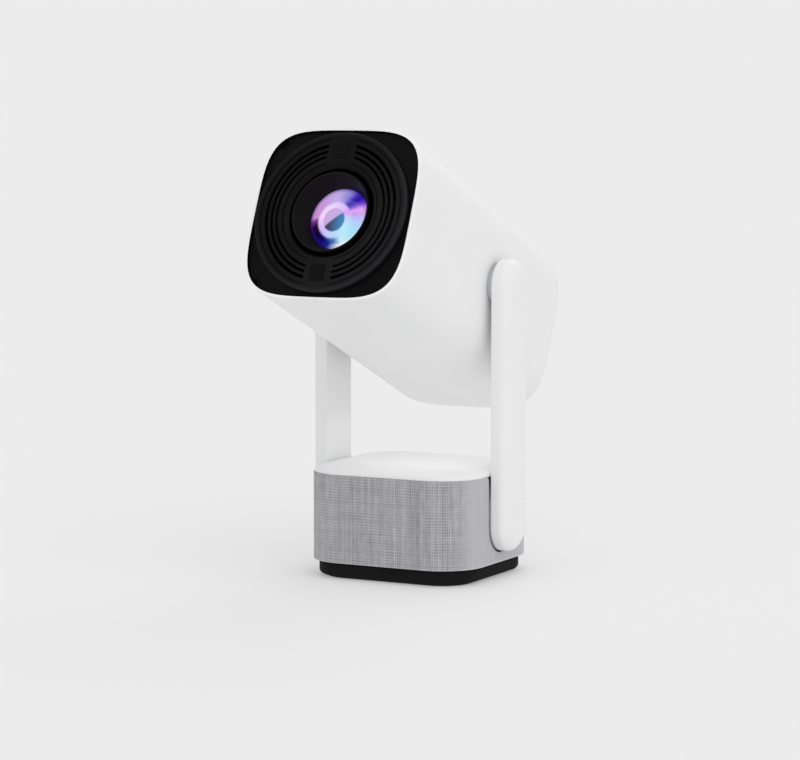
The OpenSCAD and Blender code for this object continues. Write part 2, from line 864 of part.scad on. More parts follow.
// Lens with one domed face of the given dome radius
module domed_lens(r, dome_r, edge_z, back_z) {
    sag_base = sqrt(dome_r * dome_r - r * r);
    intersection() {
        translate([0, 0, back_z])
            cylinder(r = r, h = edge_z - back_z + dome_r - sag_base + 1);
        translate([0, 0, edge_z - sag_base])
            sphere(r = dome_r, $fn = 96);
    }
}

module front_lens() color("slateblue", 0.5) in_head() domed_lens(front_lens_r, 34, 96.3, 93);
module rear_lens() color("lightblue", 0.5) in_head() domed_lens(rear_lens_r, 40, 76.5, 73);

module lens_tube() color("dimgray") in_head() difference() {
    union() {
        ring(tube_out, tube_in, tube_rear, tube_front);
        ring(31, tube_in, 62.7, tube_rear + eps);
        rotate(nut_angle)
            translate([tube_out - 0.6, -5, 82.2])
                cube([10.4, 10, 1.8]);
    }
    rotate(nut_angle) {
        translate([tube_in - 2, -3.4, 68])
            cube([12, 6.8, 10.5]);
        translate([screw_off, 0, 60])
            cylinder(r = 1.8, h = 30);
    }
    translate([0, 0, 60])
        cylinder(r = tube_in, h = 60);
}

module focus_motor() color("silver") in_head() rotate(nut_angle) translate([screw_off, 0, 0])
    difference() {
        translate([0, 0, motor_seat + gap])
            cylinder(r = motor_r, h = 12);
        translate([0, 0, motor_seat - 4])
            cylinder(r = screw_r + gap, h = 9);
    }

module focus_screw() color("silver") in_head() rotate(nut_angle) translate([screw_off, 0, 67])
    cylinder(r = screw_r, h = 21);

module engine_housing() color("dimgray") in_head() difference() {
    union() {
        block(engine_w, engine_h, engine_back, engine_front);
        block(engine_w + 4, engine_h + 6, engine_front, engine_front + 2.6);
    }
    block(engine_w - 2 * engine_wall, engine_h - 2 * engine_wall, engine_back + engine_wall,
        engine_front - engine_wall);
    block(panel_w, panel_h, engine_front - 10, engine_front + 10);
    translate([0, 0, engine_back - 10])
        cylinder(r = 17, h = 20);
}

// Plate that fills the light engine from wall to wall
module light_plate(z) {
    block(plate_w, plate_h, z, z + plate_t);
}

module display_panel() color("darkslateblue") in_head() light_plate(30);
module front_fresnel() color("lightcyan", 0.4) in_head() light_plate(40);
module rear_fresnel() color("lightcyan", 0.4) in_head() light_plate(20);
module condenser_lens() color("lightcyan", 0.4) in_head() domed_lens(16.8, 17.4, -14, -17.8);

// LED on its copper board
module led_module() color("goldenrod") in_head() {
    block(40, 40, engine_back - 5, engine_back - 2);
    block(12, 12, engine_back - 2, engine_back - 1);
}

module heat_sink() color("silver") in_head() translate([0, 4, engine_back - 5]) {
    block(56, 46, -5, -gap);
    for (i = [0 : fins - 1])
        translate([fin_pitch * (i - (fins - 1) / 2), 0, 0])
            block(1.4, 46, -35, -5 + eps);
}

module fan_frame() color("black") in_head() translate([0, fan_y, fan_front - fan_t]) {
    difference() {
        block(2 * fan_half, 2 * fan_half, 0, fan_t);
        translate([0, 0, -1])
            cylinder(r = fan_bore_r, h = fan_t + 2);
    }
    cylinder(r = fan_hub_r, h = fan_spoke_t);
    for (turn = [45 : 90 : 315])
        rotate(turn)
            translate([fan_hub_r - 1, -1.2, 0])
                cube([14, 2.4, fan_spoke_t]);
}

module fan_impeller() color("black") in_head() translate([0, fan_y, fan_front - fan_t]) {
    translate([0, 0, fan_spoke_t + 0.3])
        cylinder(r = fan_hub_r, h = 9);
    // Flat blades set at an angle round the hub
    for (i = [0 : blades - 1])
        rotate(360 / blades * i)
            translate([fan_hub_r - 0.5, 0, 6.2])
                rotate([38, 0, 0])
                    translate([0, -5, -0.6])
                        cube([12.2, 10, 1.2]);
}

base_tub();
fabric_wrap();
top_cap();
foot();
foot_pad();
tripod_insert();
ballast_plate();
speaker_frame();
speaker_magnet();
speaker_cone();
speaker_board();
base_screws();
right_arm_shell();
right_arm_cover();
right_arm_bracket();
right_pivot_bush();
left_arm_shell();
left_arm_cover();
left_arm_bracket();
left_pivot_bush();
arm_screws();
yoke_lead();
head_shell();
head_chassis();
front_bezel();
bezel_screws();
sensor_windows();
rear_panel();
rear_screws();
hdmi_socket();
usb_socket();
audio_socket();
power_inlet();
right_trunnion();
left_trunnion();
right_ring_nut();
left_ring_nut();
friction_washer();
pivot_nut();
lens_tube();
focus_motor();
engine_housing();
display_panel();
front_fresnel();
rear_fresnel();
condenser_lens();
led_module();
heat_sink();
fan_frame();
main_board();
driver_board();
power_switch();
head_lead();
lens_barrel();
front_lens();
rear_lens();
focus_screw();
fan_impeller();
power_button();
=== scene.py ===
import json
from math import acos, asin, atan2, cos, dist, pi, radians, sin, sqrt, tan

import bmesh
import bpy
from mathutils import Matrix, Vector


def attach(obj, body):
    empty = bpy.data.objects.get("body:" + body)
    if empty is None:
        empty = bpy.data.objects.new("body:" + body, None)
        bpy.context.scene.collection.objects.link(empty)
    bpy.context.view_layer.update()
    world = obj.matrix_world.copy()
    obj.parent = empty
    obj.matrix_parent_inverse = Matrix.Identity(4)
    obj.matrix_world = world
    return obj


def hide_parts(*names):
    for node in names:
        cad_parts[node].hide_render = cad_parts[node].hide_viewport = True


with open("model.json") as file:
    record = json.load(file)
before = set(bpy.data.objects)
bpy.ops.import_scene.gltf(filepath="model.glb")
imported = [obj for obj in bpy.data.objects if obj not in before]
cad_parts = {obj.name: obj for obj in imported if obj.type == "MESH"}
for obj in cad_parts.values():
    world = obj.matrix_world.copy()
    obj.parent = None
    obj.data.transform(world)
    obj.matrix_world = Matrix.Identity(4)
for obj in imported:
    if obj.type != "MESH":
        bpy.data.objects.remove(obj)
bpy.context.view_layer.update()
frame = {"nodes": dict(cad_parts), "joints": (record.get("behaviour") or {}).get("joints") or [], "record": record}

# Home projector: a rounded-square barrel head on a two-armed yoke over a
# fabric-wrapped speaker base. Shapes are written in millimetres, either in the
# row frame or in the head frame, and become metres when a mesh is made.

MM = 0.001
scene = bpy.context.scene


# ---- Places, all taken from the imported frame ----

JOINTS = {joint["name"]: joint for joint in frame["joints"]}
PIVOT = Vector(JOINTS["head_tilt"]["pos_m"])
FORWARD = Vector(JOINTS["focus_travel"]["axis"]).normalized()
ACROSS = Vector((1, 0, 0))
UPWARD = FORWARD.cross(ACROSS)


def placed(origin, x_axis, y_axis, z_axis):
    """Matrix of a frame with that origin and those axes."""
    rows = [(x_axis[i], y_axis[i], z_axis[i], origin[i]) for i in range(3)]
    return Matrix(rows + [(0, 0, 0, 1)])


BASE = Matrix.Identity(4)
HEAD = placed(PIVOT, ACROSS, UPWARD, FORWARD)


def reach(node, place=BASE):
    """Lowest and highest corner of a CAD node in a frame, in millimetres."""
    back = place.inverted()
    points = [back @ vertex.co / MM for vertex in frame["nodes"][node].data.vertices]
    low = Vector([min(p[i] for p in points) for i in range(3)])
    high = Vector([max(p[i] for p in points) for i in range(3)])
    return low, high


SHELL_LOW, SHELL_HIGH = reach("head_shell", HEAD)
BEZEL_LOW, BEZEL_HIGH = reach("front_bezel", HEAD)
BARREL_HIGH = reach("lens_barrel", HEAD)[1]
LENS_LOW = reach("front_lens", HEAD)[0]
PANEL_LOW = reach("rear_panel", HEAD)[0]
BUTTON_LOW, BUTTON_HIGH = reach("power_button", HEAD)
WRAP_LOW, WRAP_HIGH = reach("fabric_wrap")
CAP_LOW, CAP_HIGH = reach("top_cap")
FOOT_LOW, FOOT_HIGH = reach("foot")
ARM_LOW, ARM_HIGH = reach("right_arm_shell")
COVER_LOW = reach("right_arm_cover")[0]


# ---- Outlines ----

SQUARENESS = 4.2  # of the head's section; a circle would have 2
QUARTER = pi / 2


def square_point(half, turn):
    """Point of the rounded square of that half-width, at an angle."""
    c, s = cos(turn), sin(turn)
    r = half / (abs(c) ** SQUARENESS + abs(s) ** SQUARENESS) ** (1 / SQUARENESS)
    return r * c, r * s


def rounded_square(half, z, steps=192):
    """Ring of the head's section."""
    return [(*square_point(half, 2 * pi * i / steps), z) for i in range(steps)]


def circle(r, z, steps=128):
    return [(r * cos(2 * pi * i / steps), r * sin(2 * pi * i / steps), z)
            for i in range(steps)]


def quarter_turns(steps):
    """Angles from 0 to 90 degrees, in even steps."""
    return [QUARTER * i / steps for i in range(steps + 1)]


def round_rect(w, d, r, z, steps=20, straight=12):
    """Ring of a rectangle with round corners, with points along its sides too."""
    ring = []
    centres = [Vector((sx * (w / 2 - r), sy * (d / 2 - r)))
               for sx, sy in ((1, 1), (-1, 1), (-1, -1), (1, -1))]
    for corner, centre in enumerate(centres):
        for i in range(steps + 1):
            turn = QUARTER * (corner + i / steps)
            ring.append(centre + r * Vector((cos(turn), sin(turn))))
        turn = QUARTER * (corner + 1)
        end = centres[(corner + 1) % 4] + r * Vector((cos(turn), sin(turn)))
        here = ring[-1].copy()
        for i in range(1, straight):
            ring.append(here.lerp(end, i / straight))
    return [(p.x, p.y, z) for p in ring]


def inset_rect(w, d, r, inset, z):
    """Ring of a rectangle with round corners, drawn in on all sides."""
    return round_rect(w - 2 * inset, d - 2 * inset, r - inset, z)


def eased(corners, steps=4):
    """Closed outline through (a, b, rounding) corners, each corner rounded off."""
    outline = []
    count = len(corners)
    for i, (a, b, rounding) in enumerate(corners):
        here = Vector((a, b))
        if rounding <= 0:
            outline.append(here)
            continue
        before = Vector(corners[i - 1][:2]) - here
        after = Vector(corners[(i + 1) % count][:2]) - here
        half_angle = before.angle(after) / 2
        leg = min(rounding / tan(half_angle), before.length * 0.49, after.length * 0.49)
        first, last = here + before.normalized() * leg, here + after.normalized() * leg
        for step in range(steps + 1):
            t = step / steps
            outline.append((1 - t) ** 2 * first + 2 * t * (1 - t) * here + t * t * last)
    return outline


# ---- Mesh making ----

SHARP = 32  # degrees; edges that bend less are shaded smooth


def add_object(name, data, place=BASE):
    made = bpy.data.objects.new(name, data)
    scene.collection.objects.link(made)
    made.matrix_world = place
    return made


def make_piece(name, points, faces, place, sharp=SHARP):
    """Object from points in millimetres, smooth except at edges sharper than that."""
    mesh = bpy.data.meshes.new(name)
    mesh.from_pydata([tuple(c * MM for c in p) for p in points], [], faces)
    work = bmesh.new()
    work.from_mesh(mesh)
    bmesh.ops.remove_doubles(work, verts=work.verts, dist=1e-7)
    bmesh.ops.recalc_face_normals(work, faces=work.faces)
    work.to_mesh(mesh)
    work.free()
    piece = add_object(name, mesh, place)
    smooth(piece, sharp)
    return piece


def smooth(piece, sharp=SHARP):
    piece.data.shade_smooth()
    piece.data.set_sharp_from_angle(angle=radians(sharp))


def loft(name, rings, place, loop=False, sharp=SHARP):
    """Skin over rings of equal length, closed on itself or else capped at both ends."""
    count, columns = len(rings), len(rings[0])
    faces = []
    for i in range(count if loop else count - 1):
        a, b = i * columns, (i + 1) % count * columns
        faces += [(a + j, b + j, b + (j + 1) % columns, a + (j + 1) % columns)
                  for j in range(columns)]
    if not loop:
        faces += [tuple(range(columns)), tuple(range((count - 1) * columns, count * columns))]
    return make_piece(name, [p for ring in rings for p in ring], faces, place, sharp)


def lathe(name, outline, place, steps, loop=False):
    """(radius, height) outline turned about the frame's Z axis; an open one is capped flat."""
    return loft(name, [circle(r, z, steps) for r, z in outline], place, loop)


def merged(name, pieces):
    """One mesh from pieces, which are removed."""
    work = bmesh.new()
    for piece in pieces:
        work.from_mesh(piece.data)
        bpy.data.objects.remove(piece)
    mesh = bpy.data.meshes.new(name)
    work.to_mesh(mesh)
    work.free()
    return mesh


def join(name, pieces, sharp=SHARP):
    """One object from several that share a frame."""
    place = pieces[0].matrix_world.copy()
    result = add_object(name, merged(name, pieces), place)
    smooth(result, sharp)
    return result


def join_placed(name, pieces, place=BASE):
    """One object, in that frame, from pieces with frames of their own."""
    for piece in pieces:
        piece.data.transform(piece.matrix_world)
    mesh = merged(name, pieces)
    mesh.transform(place.inverted())
    return add_object(name, mesh, place)


def modify(piece, kind, sharp=SHARP, **settings):
    """Adds one modifier and applies it."""
    modifier = piece.modifiers.new(kind, kind)
    for key, value in settings.items():
        setattr(modifier, key, value)
    bpy.context.view_layer.update()
    graph = bpy.context.evaluated_depsgraph_get()
    mesh = bpy.data.meshes.new_from_object(piece.evaluated_get(graph))
    piece.modifiers.clear()
    piece.data = mesh
    smooth(piece, sharp)


def cut(piece, cutter, sharp=SHARP):
    """Takes cutter out of piece."""
    modify(piece, "BOOLEAN", sharp, operation="DIFFERENCE", solver="EXACT", object=cutter)
    bpy.data.objects.remove(cutter)


def bevel(piece, width, segments=2, angle=50, sharp=SHARP):
    """Rounds the piece's edges that are sharper than an angle."""
    modify(piece, "BEVEL", sharp, width=width * MM, segments=segments, limit_method="ANGLE",
           angle_limit=radians(angle), use_clamp_overlap=True)


def paint(piece, material):
    piece.data.materials.clear()
    piece.data.materials.append(material)


def finish_piece(piece, body, slot, *replaced, material=None):
    """Puts a finished piece on its body, in place of CAD nodes."""
    paint(piece, material or MATERIALS[slot])
    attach(piece, body)
    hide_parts(*replaced)


# ---- Materials ----


class Shader:
    """A Principled material and the nodes that drive it."""

    def __init__(self, name, roughness=0.5, metallic=0.0, specular=0.5, coat=0.0,
                 coat_roughness=0.1, sheen=0.0):
        self.material = bpy.data.materials.new(name)
        self.material.use_nodes = True
        self.tree = self.material.node_tree
        self.surface = self.tree.nodes["Principled BSDF"]
        self.place = None
        settings = {"Roughness": roughness, "Metallic": metallic, "Specular IOR Level": specular,
                    "Coat Weight": coat, "Coat Roughness": coat_roughness, "Sheen Weight": sheen}
        for socket, value in settings.items():
            self.surface.inputs[socket].default_value = value

    def node(self, kind, **inputs):
        made = self.tree.nodes.new("ShaderNode" + kind)
        for key, value in inputs.items():
            self.feed(made.inputs[key.replace("_", " ")], value)
        return made

    def feed(self, socket, value):
        if isinstance(value, bpy.types.NodeSocket):
            self.tree.links.new(value, socket)
        else:
            socket.default_value = value

    def spot(self):
        """The point on the piece, in metres in the frame it was made in."""
        if self.place is None:
            self.place = self.node("TexCoord").outputs["Object"]
        return self.place

    def parts(self, vector=None):
        """X, Y and Z of a vector, or else of the point on the piece."""
        return self.node("SeparateXYZ", Vector=vector or self.spot()).outputs

    def noise(self, scale, detail=2.0, roughness=0.5, place=None):
        made = self.node("TexNoise", Scale=scale, Detail=detail, Roughness=roughness)
        self.feed(made.inputs["Vector"], place or self.spot())
        return made.outputs["Fac"]

    def math(self, operation, a, b=0.0, c=0.0):
        made = self.tree.nodes.new("ShaderNodeMath")
        made.operation = operation
        for socket, value in zip(made.inputs, (a, b, c)):
            self.feed(socket, value)
        return made.outputs[0]

    def times(self, a, b):
        return self.math("MULTIPLY", a, b)

    def span(self, value, low, high, to_low=0.0, to_high=1.0):
        """Soft step from one value to another while the input runs from low to high."""
        made = self.tree.nodes.new("ShaderNodeMapRange")
        made.interpolation_type = "SMOOTHSTEP"
        for key, number in (("Value", value), ("From Min", low), ("From Max", high),
                            ("To Min", to_low), ("To Max", to_high)):
            self.feed(made.inputs[key], number)
        return made.outputs["Result"]

    def mix(self, amount, a, b):
        made = self.tree.nodes.new("ShaderNodeMix")
        made.data_type = "RGBA"
        self.feed(made.inputs["Factor"], amount)
        self.feed(made.inputs[6], a)
        self.feed(made.inputs[7], b)
        return made.outputs[2]

    def bump(self, height, distance, strength):
        made = self.node("Bump", Height=height, Distance=distance, Strength=strength)
        return made.outputs["Normal"]

    def use(self, color=None, roughness=None, normal=None):
        for key, value in (("Base Color", color), ("Roughness", roughness), ("Normal", normal)):
            if value is not None:
                self.feed(self.surface.inputs[key], value)
        return self.material


def rgb(r, g, b):
    return (r, g, b, 1.0)


def shade(color, factor):
    return rgb(*[min(1.0, c * factor) for c in color[:3]])


CLOUDS = 38.0  # noise scales, in features a metre
POLISH = 90.0
GRAIN = 2600.0
GRAIN_DEPTH = 0.00002
POLISH_SPREAD = 0.05


def cloudy(look, color, spread):
    """Colour that drifts a little from place to place."""
    return look.mix(look.noise(CLOUDS, 3.0), shade(color, 1 - spread), shade(color, 1 + spread))


def mould_skin(look, tone, roughness, grain=GRAIN, depth=GRAIN_DEPTH):
    """Uneven polish and spark-eroded grain of a moulding."""
    polish = look.span(look.noise(POLISH, 4.0), 0.3, 0.7, roughness - POLISH_SPREAD,
                       roughness + POLISH_SPREAD)
    return look.use(tone, polish, look.bump(look.noise(grain, 2.0, 0.6), depth, 0.6))


def moulded(name, color, roughness, spread=0.04, specular=0.5, grain=GRAIN, depth=GRAIN_DEPTH):
    """Moulded plastic: spark-eroded grain and tone variation."""
    look = Shader(name, roughness, specular=specular)
    return mould_skin(look, cloudy(look, color, spread), roughness, grain, depth)


BRUSHED = (1, 1, 14)  # stretch of the streaks in metal


def metal(name, color, roughness):
    """Machined or plated metal with fine streaks along one way."""
    look = Shader(name, roughness, metallic=1.0)
    streaks = look.noise(900.0, 3.0, 0.6, stretched(look, look.spot(), BRUSHED))
    tone = look.mix(streaks, shade(color, 0.9), shade(color, 1.06))
    polish = look.span(streaks, 0.2, 0.8, roughness - 0.07, roughness + 0.09)
    return look.use(tone, polish, look.bump(streaks, 0.00001, 0.4))


def rubber(name, color, roughness=0.75):
    look = Shader(name, roughness, specular=0.3)
    dust = look.span(look.noise(60.0, 5.0, 0.65), 0.5, 0.8)
    tone = look.mix(dust, color, shade(color, 1.5))
    return look.use(tone, None, look.bump(look.noise(1500.0, 3.0), 0.00006, 0.5))


def board(name, mask, copper):
    """Circuit board: solder mask with copper runs showing lighter through it."""
    look = Shader(name, 0.35)
    cells = look.node("TexVoronoi", Scale=260.0)
    cells.feature = "DISTANCE_TO_EDGE"
    look.feed(cells.inputs["Vector"], look.spot())
    runs = look.span(cells.outputs["Distance"], 0.03, 0.06, 1.0, 0.0)
    tone = look.mix(look.times(runs, 0.5), mask, copper)
    return look.use(tone, None, look.bump(runs, 0.00003, 0.5))


def clear_glass(name, color):
    look = Shader(name, 0.04, coat=0.6, coat_roughness=0.03)
    haze = look.noise(55.0, 3.0)
    tone = look.mix(haze, shade(color, 0.92), color)
    look.surface.inputs["Transmission Weight"].default_value = 0.75
    look.surface.inputs["IOR"].default_value = 1.5
    return look.use(tone, look.span(haze, 0.3, 0.7, 0.03, 0.07))


def srgb(red, green, blue):
    """Linear colour from 0 to 255 display values."""
    return rgb(*[((c / 255 + 0.055) / 1.055) ** 2.4 if c > 10 else c / 3294.6
                 for c in (red, green, blue)])


def white_casing(name, inside):
    """White moulding; where inside is set, a head shell with painted shade on its inner face round the lip's foot
    and a painted highlight that whitens the front edge of the lip.
    """
    look = Shader(name, WHITE_ROUGHNESS)
    tone = cloudy(look, WHITE, 0.01)
    if inside > 0:
        parts = look.parts()
        powers = [look.math("POWER", look.math("ABSOLUTE", parts[axis]), SQUARENESS)
                  for axis in ("X", "Y")]
        half = look.math("POWER", look.math("ADD", *powers), 1 / SQUARENESS)
        depth = look.math("SUBTRACT", parts["Z"], (SHELL_HIGH.z - LIP_DEPTH) * MM)
        near = look.math("LESS_THAN", look.math("ABSOLUTE", depth), PAINTED_SHADE_DEPTH * MM)
        within = look.math("LESS_THAN", half, inside * MM)
        # Painted highlight: the front edge of the lip is mixed to pure white.
        lip = look.span(depth, (LIP_DEPTH - 0.5) * MM, (LIP_DEPTH - 0.25) * MM)
        tone = look.mix(lip, tone, rgb(1.0, 1.0, 1.0))
        # Painted shade: black on the inner face near the lip's foot.
        tone = look.mix(look.times(near, within), tone, BLACK)
    return mould_skin(look, tone, WHITE_ROUGHNESS)


def face_black(name):
    """Satin black face: a disc with a painted highlight on its rim and painted light paler to its lower right, in
    a deeper field with painted shade.
    """
    look = Shader(name, FACE_ROUGHNESS, specular=0.10)
    parts = look.parts()
    r = length(look, parts["X"], parts["Y"])
    tone = cloudy(look, BLACK, 0.1)
    rim = look.times(look.span(r, (DISC_R - 2.6) * MM, (DISC_R - 0.9) * MM),
                     look.span(r, (DISC_R - 0.1) * MM, (DISC_R + 0.1) * MM, 1.0, 0.0))
    # Painted light: the disc turns paler towards its lower right, where the light falls.
    lean = total(look, ((parts["X"], 0.8 / (DISC_R * MM)), (parts["Y"], -0.6 / (DISC_R * MM))))
    aside = look.span(lean, -0.1, 0.6)
    field_shade = look.span(r, (DISC_R - 0.05) * MM, (DISC_R + 0.3) * MM)
    tone = look.mix(look.times(aside, 0.8), tone, shade(BLACK, 3.2))
    # Painted shade: the field outside the disc is darker.
    tone = look.mix(field_shade, tone, shade(BLACK, 0.3))
    # Painted highlight: a paler band inside the disc's rim, strongest to the lower right.
    rim_highlight = look.times(rim, look.span(lean, -0.6, 0.8, 0.25, 1.0))
    tone = look.mix(rim_highlight, tone, shade(BLACK, 6.0))
    # Painted shade: the deeper the face lies, the darker it is painted.
    recess_shade = look.span(parts["Z"], (BEZEL_HIGH.z - 3.8) * MM, (BEZEL_HIGH.z - 1.0) * MM)
    tone = look.mix(recess_shade, shade(BLACK, 0.35), tone)
    return mould_skin(look, tone, FACE_ROUGHNESS)


# Unevenness of the yarn: noise scale, detail, roughness, stretch and weight
YARN = ((620.0, 3.0, 0.75, (1, 0.02, 1), 1.1),  # streaks
        (110.0, 1.0, 0.5, (1, 0.05, 1), 0.3),  # bands
        (500.0, 2.0, 0.7, (0.02, 1, 1), 0.35),  # picks
        (420.0, 3.0, 0.7, (1, 0.3, 1), 0.6))  # slubs


def woven(name):
    """Open plain weave of grey melange yarn, on the sheet's own cloth coordinates."""
    look = Shader(name, 0.85, specular=0.15, sheen=0.2)
    cloth = look.node("UVMap")
    cloth.uv_map = "cloth"
    flat = cloth.outputs["UV"]
    parts = look.parts(flat)
    drift = look.times(centred(look, look.noise(160.0, 2.0, 0.5, flat)), 0.0005)
    threads = []
    for axis, pitch in (("X", WARP), ("Y", WEFT)):
        run = look.math("ADD", parts[axis], drift)
        wave = look.math("COSINE", look.times(run, 2 * pi / (pitch * MM)))
        threads.append(look.math("MULTIPLY_ADD", wave, -0.5, 0.5))
    hole = look.times(*threads)
    patch = look.span(look.noise(70.0, 3.0, 0.6, flat), 0.38, 0.62, 0.2, 0.7)
    terms = [(look.math("SUBTRACT", 0.25, hole), patch)]
    for scale, detail, roughness, stretch, weight in YARN:
        yarn = look.noise(scale, detail, roughness, stretched(look, flat, stretch))
        terms.append((centred(look, yarn), weight))
    wobble = total(look, terms)
    side = look.math("ABSOLUTE", look.parts()["X"])
    calm = look.span(side, (WRAP_HIGH.x - 10) * MM, (WRAP_HIGH.x - 0.6) * MM, 1.0, 0.25)
    # Painted light: the fabric is paler near the arm sides, where the side light falls.
    pale = look.span(side, (WRAP_HIGH.x - 7.0) * MM, (WRAP_HIGH.x - 0.2) * MM, 1.0, 1.26)
    hem = look.span(parts["Y"], (WRAP_LOW.z + 0.2) * MM, (WRAP_LOW.z + 1.1) * MM, 1.25, 1.0)
    light = look.math("MULTIPLY_ADD", wobble, calm, 1.0)
    bright = look.times(look.times(light, hem), pale)
    tone = look.mix(look.times(bright, 0.5), rgb(0, 0, 0), shade(FABRIC, 2.0))
    weave = look.times(look.math("SUBTRACT", 1.0, hole), calm)
    return look.use(tone, None, look.bump(weave, 0.00015, 0.6))


def stretched(look, vector, scale):
    made = look.node("Mapping", Vector=vector)
    made.inputs["Scale"].default_value = scale
    return made.outputs["Vector"]


def centred(look, value):
    return look.math("SUBTRACT", value, 0.5)


def total(look, terms):
    """Weighted sum of (value, weight) pairs."""
    result = 0.0
    for value, weight in terms:
        result = look.math("MULTIPLY_ADD", value, weight, result)
    return result


# Colours of the reflections painted on the lens coating, by the angle round the lens, from -180 to 180 degrees
REFLECTION_RIM = (
    (-180, (206, 150, 214)), (-172, (120, 60, 136)), (-160, (48, 0, 56)), (-140, (8, 0, 44)),
    (-120, (6, 2, 104)), (-103, (16, 44, 140)), (-90, (44, 104, 184)), (-72, (196, 236, 250)),
    (-40, (168, 228, 250)), (-10, (178, 206, 252)), (12, (200, 156, 236)), (24, (224, 160, 244)),
    (36, (120, 70, 214)), (47, (44, 16, 168)), (58, (66, 44, 190)), (74, (150, 140, 226)),
    (100, (200, 180, 240)), (150, (210, 156, 220)), (180, (206, 150, 214)))
REFLECTION_RING = (
    (-180, (252, 214, 255)), (-135, (202, 184, 255)), (-90, (182, 218, 252)),
    (-45, (178, 234, 252)), (-10, (188, 210, 252)), (25, (210, 160, 240)), (60, (214, 188, 250)),
    (110, (226, 208, 255)), (180, (252, 214, 255)))


def ramp(look, turn, stops):
    """Colour by a share of a turn, from (angle, display colour) stops."""
    made = look.node("ValToRGB", Fac=turn)
    elements = made.color_ramp.elements
    while len(elements) < len(stops):
        elements.new(0.5)
    for element, (angle, colour) in zip(elements, stops):
        element.position = (angle + 180) / 360
        element.color = srgb(*colour)
    return made.outputs["Color"]


def coated(name):
    """Lens with many-coloured reflections painted on its coating: rings and sectors that meet softly."""
    look = Shader(name, 0.12, coat=0.5, coat_roughness=0.04)
    parts = look.parts()
    x, y = (look.math("DIVIDE", parts[axis], LENS_R * MM) for axis in ("X", "Y"))
    ripple = look.times(centred(look, look.noise(200.0, 2.0)), 0.05)
    turn = look.math("MULTIPLY_ADD", look.math("ARCTAN2", y, x), 0.5 / pi, 0.5)
    turn = look.math("MULTIPLY_ADD", ripple, 0.12, turn)
    r = look.math("ADD", length(look, x, y), ripple)
    ring_r = length(look, look.math("ADD", x, 0.07), look.math("ADD", y, 0.09))
    ring_r = look.math("MULTIPLY_ADD", ripple, 0.5, ring_r)
    rim = ramp(look, turn, REFLECTION_RIM)
    ring = ramp(look, turn, REFLECTION_RING)
    tone = look.mix(look.span(ring_r, 0.50, 0.60), ring, rim)
    lean = total(look, ((x, 0.62), (y, -0.78)))
    teal = look.mix(look.span(x, -0.35, 0.30), srgb(14, 4, 56), srgb(44, 122, 182))
    pupil = look.mix(look.span(lean, -0.02, 0.05), srgb(196, 164, 222), teal)
    tone = look.mix(look.span(ring_r, 0.33, 0.385), pupil, tone)
    # Painted glint: a near-white band inside the rim, to the lower right.
    glint = look.times(look.span(r, 0.76, 0.84), look.span(lean, 0.50, 0.80))
    tone = look.mix(glint, tone, srgb(244, 255, 255))
    tone = look.mix(look.span(r, 0.80, 0.97), tone, look.mix(0.6, tone, srgb(52, 16, 150)))
    tone = look.mix(look.span(r, 0.91, 1.04), tone, srgb(8, 0, 24))
    # The painted reflections also glow by emission, though the lens is no lamp.
    look.feed(look.surface.inputs["Emission Color"], tone)
    look.surface.inputs["Emission Strength"].default_value = GLOW
    return look.use(look.mix(0.25, rgb(0, 0, 0), tone), look.span(r, 0.2, 1.0, 0.1, 0.16))


def length(look, x, y):
    return look.math("SQRT", look.math("ADD", look.times(x, x), look.times(y, y)))


WHITE = rgb(0.90, 0.90, 0.905)
BLACK = rgb(0.0030, 0.0030, 0.0034)
FABRIC = rgb(0.402, 0.396, 0.410)
WHITE_ROUGHNESS = 0.44
FACE_ROUGHNESS = 0.5
LIP_DEPTH = 8.0  # of the thin front lip
PAINTED_SHADE_DEPTH = 7.8  # painted shade darkens the inner face this far either side of the lip's foot
WARP = 1.3  # spacing of the threads
WEFT = 1.52
LENS_R = 17.6
DISC_R = 43.8
GLOW = 0.82  # emission strength of the painted reflections, which make the lens glow though it is no lamp
